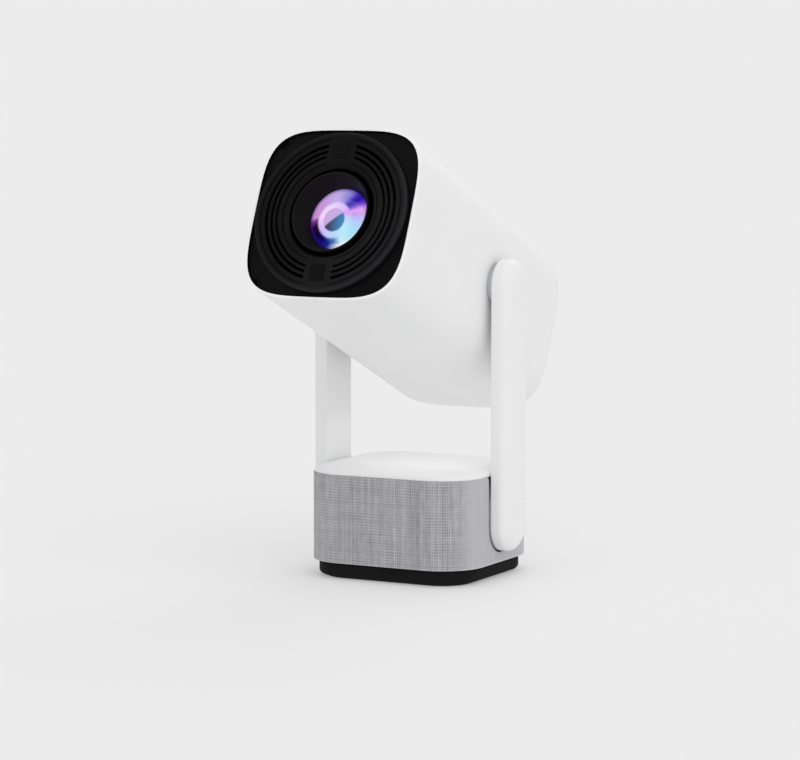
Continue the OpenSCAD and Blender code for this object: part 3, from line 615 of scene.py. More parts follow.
# Each is a maker and what it takes: for a moulding its colour, roughness, tone spread,
# specular level, grain and grain depth
RECIPES = {
    "white_shell": (white_casing, 0),
    "white_head_shell": (white_casing, SHELL_HIGH.x - 1.1),
    "white_button": (moulded, rgb(0.84, 0.84, 0.85), 0.38, 0.015),
    "black_face": (face_black,),
    "foot_black": (moulded, rgb(0.0125, 0.0125, 0.0128), 0.6, 0.04, 0.03),
    "seat_grey": (moulded, rgb(0.4, 0.4, 0.405), 0.6, 0.04, 0.2),
    "black_part": (moulded, rgb(0.0045, 0.0045, 0.005), 0.6, 0.15, 0.05),
    "grey_part": (moulded, rgb(0.12, 0.12, 0.124), 0.6, 0.04, 0.2),
    "smoked_window": (moulded, rgb(0.0022, 0.002, 0.0026), 0.2, 0.04, 0.1, GRAIN, 0.000002),
    "barrel_black": (moulded, rgb(0.0035, 0.0035, 0.0035), 0.5, 0.1, 0.14),
    "bush": (moulded, rgb(0.62, 0.56, 0.38), 0.5),
    "cone": (moulded, rgb(0.01, 0.01, 0.011), 0.7, 0.04, 0.5, 1400.0, 0.00008),
    "foot_rubber": (rubber, rgb(0.008, 0.008, 0.008)),
    "lead": (rubber, rgb(0.006, 0.006, 0.006), 0.55),
    "steel": (metal, rgb(0.56, 0.57, 0.58), 0.34),
    "dark_steel": (metal, rgb(0.02, 0.02, 0.022), 0.5),
    "brass": (metal, rgb(0.62, 0.44, 0.19), 0.3),
    "aluminium": (metal, rgb(0.62, 0.63, 0.64), 0.4),
    "copper_board": (metal, rgb(0.6, 0.33, 0.17), 0.38),
    "circuit_board": (board, rgb(0.01, 0.07, 0.028), rgb(0.05, 0.2, 0.06)),
    "clear_glass": (clear_glass, rgb(0.85, 0.92, 0.95)),
    "display_glass": (clear_glass, rgb(0.03, 0.03, 0.06)),
    "woven_fabric": (woven,),
    "coated_glass": (coated,),
}
MATERIALS = {name: make(name, *looks) for name, (make, *looks) in RECIPES.items()}


# ---- Head casing ----

REAR_ROUNDING = 21.0
SHELL_WALL = 2.0
LIP_WALL = 1.2
REAR_OPENING = 24.6
BUTTON_FLANGE = 1.4
BUTTON_R = BUTTON_HIGH.x - BUTTON_FLANGE
BUTTON_GAP = 0.2
HOLE_FLARE = 0.45


def quarter(half, z, radius):
    """(half-width, height) points of the rear rounding, from the side to the face."""
    return [(half - radius * (1 - cos(turn)), z + radius * (1 - sin(turn)), 0)
            for turn in quarter_turns(14)]


def make_head_shell():
    half, front, rear = SHELL_HIGH.x, SHELL_HIGH.z, SHELL_LOW.z
    inner = half - SHELL_WALL
    inside = quarter(inner, rear + SHELL_WALL, REAR_ROUNDING - SHELL_WALL)
    outline = [(half, front, 0.35), *quarter(half, rear, REAR_ROUNDING),
               (REAR_OPENING, rear, 0.45), (REAR_OPENING, rear + SHELL_WALL, 0),
               *reversed(inside), (inner, front - LIP_DEPTH, 0),
               (half - LIP_WALL, front - LIP_DEPTH, 0), (half - LIP_WALL, front, 0.15)]
    shell = loft("head_casing", [rounded_square(a, z) for a, z in eased(outline)], HEAD, loop=True)
    cut(shell, make_button_hole(half))
    finish_piece(shell, "head", "white_shell", "head_shell", material=MATERIALS["white_head_shell"])


def button_place():
    """Frame at the button's centre line, with Z out of the top of the head."""
    z = (BUTTON_LOW.z + BUTTON_HIGH.z) / 2
    return placed(HEAD @ Vector((0, 0, z * MM)), ACROSS, -FORWARD, UPWARD)


def make_button_hole(half):
    """Round cutter with a flared mouth, so that the hole's edge comes out rounded."""
    r = BUTTON_R + BUTTON_GAP
    flared = [(r + HOLE_FLARE * (1 - cos(turn)), half - HOLE_FLARE + HOLE_FLARE * sin(turn))
              for turn in quarter_turns(6)]
    outline = [(r, half - 8), *flared, (r + HOLE_FLARE, half + 6)]
    return lathe("button_hole", outline, button_place(), 64)


def make_power_button():
    r, top, rim, stem = BUTTON_R, BUTTON_HIGH.y, BUTTON_R + BUTTON_FLANGE, 2.0
    dish = [(0.1, top - 0.35), (2.0, top - 0.32), (4.0, top - 0.2), (5.4, top - 0.04), (5.8, top)]
    edge = [(r - 0.35, top - 0.02), (r - 0.1, top - 0.15), (r, top - 0.4), (r, top - 2.9),
            (rim, top - 2.9), (rim, top - 4.0), (stem, top - 4.0), (stem, BUTTON_LOW.y),
            (0.1, BUTTON_LOW.y)]
    button = lathe("button_cap", dish + edge, button_place(), 72)
    finish_piece(button, "power_button", "white_button", "power_button")


# ---- Bezel ----

TAB_HALF = 8.0
HOLE_R = 24.2
HOLE_CHAMFER = 1.8
FACE_T = 3.0
SLOTS = ((30.9, 1.3), (33.8, 1.5), (36.9, 1.7))
GROOVES = ((27.2, 0.8), (40.4, 0.7))
GROOVE_DEPTH = 0.55
FAN_COLUMNS = 84
TAB_COLUMNS = 14
FIELD_DROP = 4.2  # from the disc's face to the field round it
FIELD_T = 2.4
DISC_EDGE = 0.8
INNER_WALL = 6.3  # from the bezel's back to the foot of the wall round its hole
WINDOW = 9.0
WINDOW_ROWS = (-33.5, 33.5)
POCKET = 0.6
BEZEL_SHARP = 40
RIB_TURNS = (0, 45, 135, 180, 225, 315)


def face_columns():
    """(sector, share) for each column round the face; sectors 0 and 2 hold the slots."""
    columns = []
    for sector in range(4):
        count = TAB_COLUMNS if sector % 2 else FAN_COLUMNS
        columns += [(sector, 2 * i / count - 1) for i in range(count)]
    return columns


def face_spot(sector, share, r):
    """A column's place at a radius: its tabs keep straight sides."""
    if sector == 1:
        return -share * TAB_HALF, sqrt(r * r - (share * TAB_HALF) ** 2)
    if sector == 3:
        return share * TAB_HALF, -sqrt(r * r - (share * TAB_HALF) ** 2)
    turn = share * acos(TAB_HALF / r) + (pi if sector == 2 else 0)
    return r * cos(turn), r * sin(turn)


def square_spot(sector, share, half):
    """A column's place on the rounded square of that half-width."""
    x, y = face_spot(sector, share, DISC_R)
    return square_point(half, atan2(y, x))


def opening_rings(top, r, w):
    """Front rings of a slot, with its two edges in the middle."""
    low, high = r - w / 2, r + w / 2
    return [(low - 0.2, top), (low - 0.06, top, 0.05), (low, top, 0.2), (high, top, 0.2),
            (high + 0.06, top, 0.05), (high + 0.2, top)]


def groove_rings(top, r, w):
    low, high = r - w / 2, r + w / 2
    return [(low - 0.1, top), (low + 0.12, top, GROOVE_DEPTH), (high - 0.12, top, GROOVE_DEPTH),
            (high + 0.1, top)]


def bezel_rings(top, half):
    """(radius, height, drop in the slotted sectors, square) of each ring, as one loop,
    and the index pairs (front, back) of the rings beside each slot."""
    field, back, wall = top - FIELD_DROP, top - FACE_T, BEZEL_LOW.z + INNER_WALL
    rings = [(HOLE_R, top - HOLE_CHAMFER), (HOLE_R + 0.15, top - HOLE_CHAMFER + 0.1),
             (HOLE_R + HOLE_CHAMFER - 0.15, top - 0.12), (HOLE_R + HOLE_CHAMFER + 0.12, top)]
    openings = []
    for r, w in sorted(SLOTS + GROOVES):
        if (r, w) in SLOTS:
            openings.append([len(rings) + 2])
            rings += opening_rings(top, r, w)
        else:
            rings += groove_rings(top, r, w)
    rings += [(DISC_R - DISC_EDGE * (1 - sin(t)), top - DISC_EDGE * (1 - cos(t)))
              for t in quarter_turns(5)]
    rings += [(DISC_R, field + 0.5), (DISC_R + 0.15, field + 0.15), (DISC_R + 0.5, field),
              (half - 0.25, field, 0, True), (half, field - 0.25, 0, True),
              (half, field - FIELD_T, 0, True), (DISC_R - 2, field - FIELD_T), (DISC_R - 2, back)]
    for opening, (r, w) in zip(reversed(openings), reversed(SLOTS)):
        opening.append(len(rings))
        rings += [(r + w / 2, back), (r - w / 2, back)]
    rings += [(HOLE_R + 2, back), (HOLE_R + 2, wall), (HOLE_R, wall)]
    return [(*ring, 0, False)[:4] for ring in rings], openings


def bezel_points(rings, columns):
    points = []
    for r, z, drop, square in rings:
        for sector, share in columns:
            x, y = square_spot(sector, share, r) if square else face_spot(sector, share, r)
            slotted = sector % 2 == 0 or share == -1
            points.append((x, y, z - (drop if slotted else 0)))
    return points


def bezel_faces(rings, openings, columns):
    """Faces between the rings, but for the slots, and the walls of the slots."""
    count = len(columns)
    open_rings = {ring for opening in openings for ring in opening}
    faces = []
    for i in range(len(rings)):
        for j, (sector, _) in enumerate(columns):
            if sector % 2 == 0 and i in open_rings:
                continue
            a, b, k = i * count, ((i + 1) % len(rings)) * count, (j + 1) % count
            faces.append((a + j, b + j, b + k, a + k))
    slotted = [(j, (j + 1) % count) for j, (sector, _) in enumerate(columns) if sector % 2 == 0]
    for front, back in openings:
        for here, behind in ((front * count, (back + 1) * count), ((front + 1) * count, back * count)):
            faces += [(here + j, here + k, behind + k, behind + j) for j, k in slotted]
        faces += [tuple(ring * count + j for ring in (front, front + 1, back, back + 1))
                  for j, (_, share) in enumerate(columns) if share == -1]
    return faces


def make_bezel():
    top = BEZEL_HIGH.z
    rings, openings = bezel_rings(top, BEZEL_HIGH.x)
    columns = face_columns()
    bezel = make_piece("bezel_face", bezel_points(rings, columns),
                       bezel_faces(rings, openings, columns), HEAD, BEZEL_SHARP)
    pocket = WINDOW + 0.12
    for y in WINDOW_ROWS:
        cut(bezel, slab("window_pocket", pocket, pocket, 1.26, top - POCKET, top + 1, (0, y)),
            BEZEL_SHARP)
    ribs = [slab("rib", 15.4, 1.2, 0.2, top - FACE_T - 3.4, top - FACE_T + 0.1, (34.2, 0), turn)
            for turn in RIB_TURNS]
    bezel = join("bezel_face_ribbed", [bezel, *ribs], BEZEL_SHARP)
    finish_piece(bezel, "head", "black_face", "front_bezel")


def slab(name, w, d, r, low, high, centre=(0, 0), turn=0, ease=0.0, place=HEAD):
    """Rounded rectangle standing on a height, with its top edge eased."""
    rings = [round_rect(w, d, r, low, 6, 3)]
    for t in quarter_turns(3) if ease > 0 else (0,):
        inset = ease * (1 - cos(t))
        rings.append(round_rect(w - 2 * inset, d - 2 * inset, max(r - inset, 0.05),
                                high - ease + ease * sin(t), 6, 3))
    c, s = cos(radians(turn)), sin(radians(turn))
    cx, cy = centre
    moved = [[(c * (x + cx) - s * (y + cy), s * (x + cx) + c * (y + cy), z) for x, y, z in ring]
             for ring in rings]
    return loft(name, moved, place)


def make_windows():
    top = BEZEL_HIGH.z
    plates = [slab("plate", WINDOW, WINDOW, 1.2, top - POCKET, top - 0.02, (0, y), ease=0.05)
              for y in WINDOW_ROWS]
    finish_piece(join("window_plates", plates), "head", "smoked_window", "sensor_windows")


# ---- Lens ----

RIM_R = 22.0
CONE_MOUTH = 21.1
CONE_FOOT = 16.8
CONE_BACK = 98.0
CONE_DROP = 0.9  # from the rim to the cone's first step
BAFFLES = 6
BARREL_REAR = 70.0
# (radius, height) of the barrel's inside, from the front lens's seat to the rear
BARREL_BORE = ((CONE_FOOT, 97), (17.65, 96.4), (17.65, 93), (15.2, 91), (15.2, 82), (14.4, 82),
               (14.4, 80.2), (15.25, 80.2), (15.25, 72), (16.4, BARREL_REAR))
EAR_TURN = 45
EAR_HOLE = 20.36  # X and Y of the focus screw
LENS_DOME = 34.0  # radius of the front lens's face
LENS_EDGE = 96.3
AXIS_R = 0.03


def make_barrel():
    front = BARREL_HIGH.z
    outline = [(RIM_R, BARREL_REAR, 0.3), (RIM_R, front, 0.35), (CONE_MOUTH, front, 0.3)]
    depth = (front - CONE_DROP - CONE_BACK) / BAFFLES
    mouth = CONE_MOUTH - 0.25
    radii = steps_between(mouth, CONE_FOOT, BAFFLES)
    for i, (r, next_r) in enumerate(zip(radii, radii[1:])):
        z = front - CONE_DROP - depth * i
        outline += [(r, z, 0.06), (next_r + 0.12, z - depth + 0.1, 0.05)]
    outline += [(CONE_FOOT, CONE_BACK, 0.05), *((r, z, 0) for r, z in BARREL_BORE)]
    barrel = lathe("barrel", eased(outline, 3), HEAD, 160, loop=True)
    ear = slab("ear", 10.3, 6, 0.5, 72, 76, (26.6, 0), EAR_TURN)
    hole = HEAD @ Matrix.Translation(Vector((EAR_HOLE, EAR_HOLE, 0)) * MM)
    cut(ear, lathe("screw_hole", [(1.6, 60), (1.6, 90)], hole, 24))
    finish_piece(join("lens_rim_and_barrel", [barrel, ear]), "lens_cell", "black_face",
                 "lens_barrel", material=MATERIALS["barrel_black"])


def make_front_lens():
    centre = LENS_EDGE - sqrt(LENS_DOME ** 2 - LENS_R ** 2)
    outline = [(AXIS_R, centre + LENS_DOME)]
    for i in range(1, 25):
        turn = asin(LENS_R / LENS_DOME) * i / 24
        outline.append((LENS_DOME * sin(turn), centre + LENS_DOME * cos(turn)))
    outline += [(LENS_R, LENS_LOW.z), (AXIS_R, LENS_LOW.z)]
    lens = lathe("coated_front_lens", outline, HEAD, 96)
    finish_piece(lens, "lens_cell", "coated_glass", "front_lens")


# ---- Arms ----

CROWN_W = 9.0
CROWN_T = 6.0
PINHOLE_Y = 4.6
PINHOLE_Z = 43.7
PINHOLE = ((0.45, -1.3), (0.45, -0.3), (0.65, 0.0), (0.7, 1.0))  # (radius, height)
COVER_STEP = 2.8  # the cover's inner face stands this far out above the seat
COVER_EASE = 0.6
SEAM = 0.06
UP_ARM = Vector((0, 0, 1))
REARWARD = Vector((0, 1, 0))


def arm_ring(inset, x, high=ARM_HIGH.z):
    """Ring of an upright plate with round ends, across X, drawn in on all sides."""
    r, low, top = ARM_HIGH.y - inset, ARM_LOW.z + inset, high - inset
    ring = []
    for centre, start in ((top - r, 0), (low + r, pi)):
        for i in range(33):
            turn = start + pi * i / 32
            ring.append((x, r * cos(turn), centre + r * sin(turn)))
    return ring


def make_arm_shell(side, name):
    outer, joint = ARM_HIGH.x, ARM_LOW.x
    crown = [(CROWN_W * (1 - cos(turn)), outer - CROWN_T * (1 - sin(turn)))
             for turn in quarter_turns(18)]
    skin = [(1.6, joint), (SEAM, joint), (0, joint + SEAM), *crown]
    shell = loft(name + "_arm_skin", [arm_ring(inset, side * x) for inset, x in skin], BASE)
    if side > 0:
        spot = Vector((outer, PINHOLE_Y, PINHOLE_Z)) * MM
        cut(shell, lathe("pinhole", PINHOLE, placed(spot, REARWARD, UP_ARM, ACROSS), 24))
    finish_piece(shell, "yoke", "white_shell", name + "_arm_shell")


def make_arm_cover(side, name, hole):
    """Inner half of an arm, with the grey seat behind its foot; its grey is painted shade in the gap round the
    arm.
    """
    joint, inner = ARM_LOW.x, COVER_LOW.x + COVER_STEP
    skin = [(COVER_EASE * (1 - sin(t)), inner + COVER_EASE * (1 - cos(t)))
            for t in (0, 0.4, 0.8, 1.2, QUARTER)]
    skin += [(0, joint - SEAM), (SEAM, joint)]
    cover = loft("plate", [arm_ring(inset, side * x) for inset, x in skin], BASE)
    turned = placed(Vector((0, 0, PIVOT.z)), REARWARD, UP_ARM, ACROSS)
    cut(cover, lathe("pivot_hole", [(hole, side * 40), (hole, side * 70)], turned, 64))
    cover.name = name + "_arm_inner_half"
    finish_piece(cover, "yoke", "white_shell", name + "_arm_cover")
    # Painted shade: the seat is grey, darker than the white cover, so the gap round the arm reads dark.
    seat = loft(name + "_arm_seat", [arm_ring(0.05, side * x, WRAP_HIGH.z - 2)
                                     for x in (COVER_LOW.x, inner + 0.3)], BASE)
    finish_piece(seat, "yoke", "white_shell", name + "_arm_cover", material=MATERIALS["seat_grey"])


# ---- Base ----

CAP_ROUND_W = 7.0
CAP_ROUND_H = 2.35
CAP_WALL = 3.7  # from the cap's outline to its wall inside the tub
BASE_CORNER = 24.0
FOOT_CORNER = 21.0
FOOT_ROUNDING = 2.4
FOOT_INSET = 2.5
SCREW_X = (-36, 36)
SCREW_Y = (-33, 33)
HEAD_HOLE_R = 3.2
SHANK_HOLE_R = 1.7
INSERT_HOLE_R = 5
PAD_INSET = 8


def make_cap():
    low, top = WRAP_HIGH.z, CAP_HIGH.z

    def outline(inset, z):
        return inset_rect(2 * WRAP_HIGH.x, 2 * WRAP_HIGH.y, BASE_CORNER, inset, z)

    def disc(radius, z):
        return round_rect(2 * radius + 0.6, 2 * radius + 0.6, radius, z)

    edge = [outline(0.4 + CAP_ROUND_W * (1 - cos(t)), low + 1.1 + CAP_ROUND_H * sin(t))
            for t in (0, 0.2, 0.4, 0.6, 0.8, 1.0, 1.2, 1.4)]
    crown = [outline(8.4, low + 3.52), outline(12, low + 3.57)]
    plateau = [disc(34.4, low + 3.6), disc(34.1, low + 3.64), disc(33.8, low + 3.74),
               disc(33.3, top)]
    rings = [disc(26, low + 1.5), outline(CAP_WALL + 2, low + 0.4),
             outline(CAP_WALL + 1.6, CAP_LOW.z), outline(CAP_WALL, CAP_LOW.z),
             outline(CAP_WALL, low), outline(0.55, low), outline(0.4, low + 0.15),
             *edge, *crown, *plateau]
    finish_piece(loft("domed_cap", rings, BASE, sharp=50), "yoke", "white_shell", "top_cap")


def foot_holes(low, high):
    """Cutter for the four screws and the tripod insert."""
    screw = [(HEAD_HOLE_R, -1), (HEAD_HOLE_R, low + 2), (SHANK_HOLE_R, low + 2.01),
             (SHANK_HOLE_R, high + 1)]
    holes = [lathe("hole", screw, Matrix.Translation(Vector((x, y, 0)) * MM), 32)
             for x in SCREW_X for y in SCREW_Y]
    holes.append(lathe("hole", [(INSERT_HOLE_R, -1), (INSERT_HOLE_R, high + 1)], BASE, 48))
    return join_placed("cutter", holes)


def make_foot():
    low, high = FOOT_LOW.z, FOOT_HIGH.z

    def outline(inset, z):
        return inset_rect(2 * FOOT_HIGH.x, 2 * FOOT_HIGH.y, FOOT_CORNER, inset, z)

    curve = [outline(FOOT_ROUNDING * (1 - sin(t)), low + FOOT_ROUNDING * (1 - cos(t)))
             for t in (0, 0.26, 0.52, 0.79, 1.05, 1.31, QUARTER)]
    rings = [outline(FOOT_INSET, low + 3.2), outline(FOOT_INSET, high), outline(0.15, high),
             outline(0, high - 0.15), *reversed(curve)]
    foot = loft("foot_tray", rings, BASE, sharp=40)
    cut(foot, foot_holes(low, high), 40)
    finish_piece(foot, "yoke", "black_part", "foot", material=MATERIALS["foot_black"])


def make_pad():
    w, d = 2 * FOOT_HIGH.x - PAD_INSET, 2 * FOOT_HIGH.y - PAD_INSET
    rings = [inset_rect(w, d, 17, inset, z)
             for inset, z in ((0.6, 0), (0.2, 0.12), (0, 0.45), (0, FOOT_LOW.z))]
    pad = loft("rubber_foot_pad", rings, BASE)
    cut(pad, lathe("hole", [(6, -1), (6, 3)], BASE, 64))
    finish_piece(pad, "yoke", "foot_rubber", "foot_pad")


# ---- Fabric ----

NOTCH_GAP = 0.85  # round the arm
NOTCH_R = ARM_HIGH.y + NOTCH_GAP
NOTCH_LOW = 14.5
KNEE = NOTCH_LOW + NOTCH_R  # where a notch's round foot meets its straight sides
NOTCH_ROUNDING = 1.8
WRAP_T = 1.2
ROWS_LOW = 22
ROWS_HIGH = 28
ROWS = ROWS_LOW + ROWS_HIGH + 1


def steps_between(a, b, count):
    return [a + (b - a) * i / count for i in range(count + 1)]


def arc(cx, cy, r, start, steps=36):
    return [(cx + r * cos(radians(start + 90 * i / steps)),
             cy + r * sin(radians(start + 90 * i / steps))) for i in range(1, steps)]


def wrap_columns():
    """(x, y) of each column round the wrap, with columns on the notch edges."""
    hx, hy, r = WRAP_HIGH.x, WRAP_HIGH.y, BASE_CORNER
    flat = [i / 30 * NOTCH_R for i in range(-30, 31)]
    rest = steps_between(NOTCH_R, hy - r, 8)[1:]
    sides = [-y for y in reversed(rest)] + flat + rest
    spots = [(hx, y) for y in sides] + arc(hx - r, hy - r, r, 0)
    spots += [(x, hy) for x in steps_between(hx - r, r - hx, 52)] + arc(r - hx, hy - r, r, 90)
    spots += [(-hx, -y) for y in sides] + arc(r - hx, r - hy, r, 180)
    spots += [(x, -hy) for x in steps_between(r - hx, hx - r, 52)] + arc(hx - r, r - hy, r, 270)
    return spots


def on_arm_side(x):
    return abs(x) > WRAP_HIGH.x - 0.01


def in_notch(x, y):
    return on_arm_side(x) and abs(y) < NOTCH_R + 0.001


def wrap_heights(x, y):
    """Heights of a column's points, with one on the edge of the notch's foot."""
    bend = KNEE - sqrt(max(NOTCH_R ** 2 - y * y, 0)) if in_notch(x, y) else KNEE
    top, past = WRAP_HIGH.z, abs(y) - NOTCH_R
    if on_arm_side(x) and 0 <= past < NOTCH_ROUNDING:
        rise = sqrt(NOTCH_ROUNDING ** 2 - (NOTCH_ROUNDING - past) ** 2)
        top += rise - NOTCH_ROUNDING
    return steps_between(WRAP_LOW.z, bend, ROWS_LOW) + steps_between(bend, top, ROWS_HIGH)[1:]


def wrap_mesh(spots, runs):
    """The cloth with its own flat coordinates: length round the base, and height."""
    grid = [wrap_heights(x, y) for x, y in spots]
    faces, coords = [], []
    for j, here in enumerate(grid):
        k = (j + 1) % len(spots)
        rows = ROWS_LOW if in_notch(*spots[j]) and in_notch(*spots[k]) else ROWS - 1
        for i in range(rows):
            faces.append((j * ROWS + i, k * ROWS + i, k * ROWS + i + 1, j * ROWS + i + 1))
            coords += [(runs[j], here[i]), (runs[j + 1], grid[k][i]),
                       (runs[j + 1], grid[k][i + 1]), (runs[j], here[i + 1])]
    points = [(x * MM, y * MM, z * MM) for (x, y), column in zip(spots, grid) for z in column]
    mesh = bpy.data.meshes.new("fabric_wrap_cloth")
    mesh.from_pydata(points, [], faces)
    layer = mesh.uv_layers.new(name="cloth")
    for corner, (u, v) in zip(layer.data, coords):
        corner.uv = (u * MM, v * MM)
    return mesh


def make_wrap():
    """Fabric pulled round the base, cut away for the arms."""
    spots = wrap_columns()
    runs = [0.0]
    for a, b in zip(spots, spots[1:] + spots[:1]):
        runs.append(runs[-1] + dist(a, b))
    wrap = add_object("fabric_wrap_cloth", wrap_mesh(spots, runs))
    modify(wrap, "SOLIDIFY", 50, thickness=WRAP_T * MM, offset=-1)
    bevel(wrap, 0.4, 3, 60, 50)
    finish_piece(wrap, "yoke", "woven_fabric", "fabric_wrap")


# ---- Rear panel ----

GRILLE_ROWS = 9
GRILLE_PITCH = 3.4
GRILLE_START = -6
PORT_Y = -16.5
PORTS = ((7.2, 7.2, 3.55, -18.6), (14.9, 6.1, 0.6, -6.6), (13.5, 7.1, 0.4, 8.6),
         (5.8, 5.8, 2.85, 19.2))    # width, height, corner and X
PANEL_HALF = 24.4
PANEL_LIP = 2.2
PANEL_EASE = 0.3
PANEL_SCREW_X = (-20.4, 20.4)
PANEL_SCREW_Y = 14


def make_rear_panel():
    rear, half, lip = PANEL_LOW.z, PANEL_HALF, PANEL_HALF + PANEL_LIP
    edge = [(half - PANEL_EASE * (1 - sin(t)), rear + PANEL_EASE * (1 - cos(t)))
            for t in (0, 0.5, 1.0, QUARTER)]
    outline = [*edge, (half, rear + 2.3), (lip, rear + 2.3), (lip, rear + 3.8)]
    panel = loft("rear_panel_grille", [rounded_square(a, z) for a, z in outline], HEAD)
    back = rear - 1
    holes = [slab("slot", 36, 1.8, 0.85, back, back + 8, (0, GRILLE_PITCH * row + GRILLE_START))
             for row in range(GRILLE_ROWS)]
    holes += [slab("port", w, d, r, back, back + 8, (x, PORT_Y)) for w, d, r, x in PORTS]
    holes += [slab("screw", w, w, w / 2 - 0.05, back + start, back + end, (x, PANEL_SCREW_Y))
              for w, start, end in ((4.2, 0, 2.2), (2.2, 2, 8)) for x in PANEL_SCREW_X]
    cut(panel, join_placed("cutter", holes))
    bevel(panel, 0.16)
    finish_piece(panel, "head", "black_part", "rear_panel")


def make_socket(node, name, wall, tongue_w, tongue_t, tongue_y):
    """Folded metal can, open to the rear, round a plastic tongue."""
    low, high = reach(node, HEAD)
    w, d = high.x - low.x, high.y - low.y
    x, y = (high.x + low.x) / 2, (high.y + low.y) / 2
    can = slab(name + "_can", w, d, 0.5, low.z, high.z, (x, y))
    cut(can, slab("mouth", w - 2 * wall, d - 2 * wall, 0.3, low.z - 1, high.z - 1.0, (x, y)))
    bevel(can, 0.08)
    finish_piece(can, "head", "steel", node)
    tongue = slab(name + "_tongue", tongue_w, tongue_t, 0.25, low.z + 1.2, high.z - 0.9,
                  (x, y + tongue_y))
    finish_piece(tongue, "head", "black_part", node)


def make_screws(name, node, body, place, spots, sizes):
    """Cross-head screws at (x, y, z) in a frame, with their shanks along its Z."""
    head_r, head_h, shank_r, shank_h = sizes
    end = head_h + shank_h
    outline = [(0.05, 0), (head_r * 0.8, 0), (head_r * 0.95, 0.1 * head_h), (head_r, 0.35 * head_h),
               (head_r, head_h), (shank_r, head_h), (shank_r, end), (0.05, end)]
    pieces = []
    for spot in spots:
        here = place @ Matrix.Translation(Vector(spot) * MM)
        screw = lathe("head", outline, here, 40)
        for angle in (35, 125):
            cut(screw, slab("blade", head_r * 1.15, head_r * 0.24, 0.05, -1, 0.5 * head_h, (0, 0),
                            angle, place=here))
        pieces.append(screw)
    screws = join_placed(name, pieces, place)
    smooth(screws)
    finish_piece(screws, body, "steel", node)


def make_all_screws():
    rear = [(x, PANEL_SCREW_Y, PANEL_LOW.z + 0.2) for x in PANEL_SCREW_X]
    under = [(x, y, FOOT_LOW.z + 0.1) for x in SCREW_X for y in SCREW_Y]
    make_screws("rear_panel_screws", "rear_screws", "head", HEAD, rear, (1.9, 1.0, 1.0, 4.9))
    make_screws("foot_screws", "base_screws", "yoke", BASE, under, (2.8, 1.8, 1.25, 12.9))


# ---- Stage: camera, light and floor ----


CAMERA_AZIMUTH = 27.95  # degrees; distances are in metres
CAMERA_ELEVATION = 5.61
CAMERA_DISTANCE = 1.611
CAMERA_HEIGHT = 0.10577
CAMERA_SIDEWAYS = -0.01066
CAMERA_LENS = 132.57
BACKDROP = 0.8388
FLOOR = 0.60
FLOOR_GLOW = 0.296
FLOOR_R = 4000
SUN_SPREAD = 50.0
SUN_DISTANCE = 3
FILL_POWER = 0.0054
FILL_SIZE = 0.08


def compass(azimuth, elevation):
    """Direction from the object, at an azimuth from the front and an elevation in degrees."""
    a, e = radians(azimuth), radians(elevation)
    return Vector((sin(a) * cos(e), -cos(a) * cos(e), sin(e)))


def aim(thing, spot):
    thing.rotation_mode = "QUATERNION"
    thing.rotation_quaternion = (spot - thing.location).to_track_quat("-Z", "Y")


def add_camera():
    data = bpy.data.cameras.new("camera")
    data.sensor_width = 36.0
    data.lens = CAMERA_LENS
    data.clip_start, data.clip_end = 0.1, 50.0
    camera = add_object("camera", data)
    azimuth = radians(CAMERA_AZIMUTH)
    aside = CAMERA_SIDEWAYS * Vector((cos(azimuth), sin(azimuth), 0))
    target = Vector((0, 0, CAMERA_HEIGHT)) + aside
    camera.location = target + CAMERA_DISTANCE * compass(CAMERA_AZIMUTH, CAMERA_ELEVATION)
    aim(camera, target)
    scene.camera = camera


def add_world(strength):
    """Even pale studio light; what the camera sees behind the object is plain grey."""
    world = bpy.data.worlds.new("studio")
    world.use_nodes = True
    scene.world = world
    tree = world.node_tree
    tree.nodes.clear()
    seen, lit, path, mix, out = (tree.nodes.new("ShaderNode" + kind) for kind in (
        "Background", "Background", "LightPath", "MixShader", "OutputWorld"))
    for background in (seen, lit):
        background.inputs["Color"].default_value = rgb(BACKDROP, BACKDROP, BACKDROP)
    lit.inputs["Strength"].default_value = strength
    tree.links.new(path.outputs["Is Camera Ray"], mix.inputs["Fac"])
    tree.links.new(lit.outputs[0], mix.inputs[1])
    tree.links.new(seen.outputs[0], mix.inputs[2])
    tree.links.new(mix.outputs[0], out.inputs["Surface"])


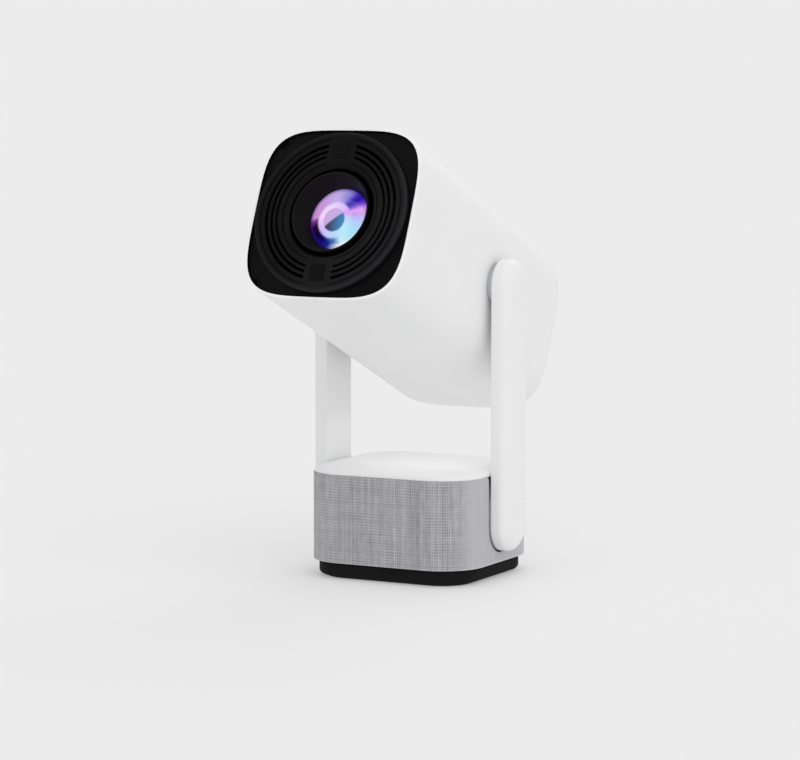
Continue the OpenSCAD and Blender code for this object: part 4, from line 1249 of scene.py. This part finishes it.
def add_lamp(name, kind, power, **settings):
    data = bpy.data.lights.new(name, kind)
    data.energy = power
    for key, value in settings.items():
        setattr(data, key, value)
    return add_object(name, data)


def add_sun(name, azimuth, elevation, strength):
    """Wide, soft light from a compass direction."""
    lamp = add_lamp(name, "SUN", strength, angle=radians(SUN_SPREAD))
    lamp.location = SUN_DISTANCE * compass(azimuth, elevation)
    aim(lamp, Vector((0, 0, 0)))


def add_fill():
    """Small soft disc that shines down on the cap from under the head."""
    lamp = add_lamp("cap_fill", "AREA", FILL_POWER, shape="DISK", size=FILL_SIZE)
    lamp.location = (0, 0.006, 0.088)
    lamp.visible_camera = False


def add_floor():
    """Pale floor; its own glow lightens the shadow round the foot."""
    floor = loft("floor", [circle(FLOOR_R, -3, 96), circle(FLOOR_R, 0, 96)], BASE)
    look = Shader("floor", 0.9, specular=0.0)
    look.surface.inputs["Emission Color"].default_value = rgb(1, 1, 1)
    look.surface.inputs["Emission Strength"].default_value = FLOOR_GLOW
    grey = rgb(FLOOR, FLOOR, FLOOR)
    paint(floor, look.use(look.mix(look.noise(3.0), shade(grey, 0.998), shade(grey, 1.002))))


def light_scene():
    add_world(0.815)
    add_sun("key", 50, 46, 0.58)
    add_sun("back", 180, 40, 0.40)
    add_sun("side", 95, 12, 0.10)
    add_fill()
    scene.view_settings.view_transform = "Standard"


add_camera()
light_scene()
add_floor()

make_head_shell()
make_power_button()
make_bezel()
make_windows()
make_barrel()
make_front_lens()
for side, name, pivot_hole in ((1, "right", 8.5), (-1, "left", 11.0)):
    make_arm_shell(side, name)
    make_arm_cover(side, name, pivot_hole)
make_cap()
make_foot()
make_pad()
make_wrap()
make_rear_panel()
make_socket("hdmi_socket", "picture_socket", 0.4, 9.6, 1.2, 0.5)
make_socket("usb_socket", "data_socket", 0.5, 11.1, 1.9, 1.3)
make_all_screws()

for row in frame["record"]["subparts"]:
    made = MATERIALS.get(row["material_slot"], MATERIALS["grey_part"])
    if row["node"] in ("focus_motor", "focus_screw", "bezel_screws"):
        made = MATERIALS["dark_steel"]
    paint(frame["nodes"][row["node"]], made)
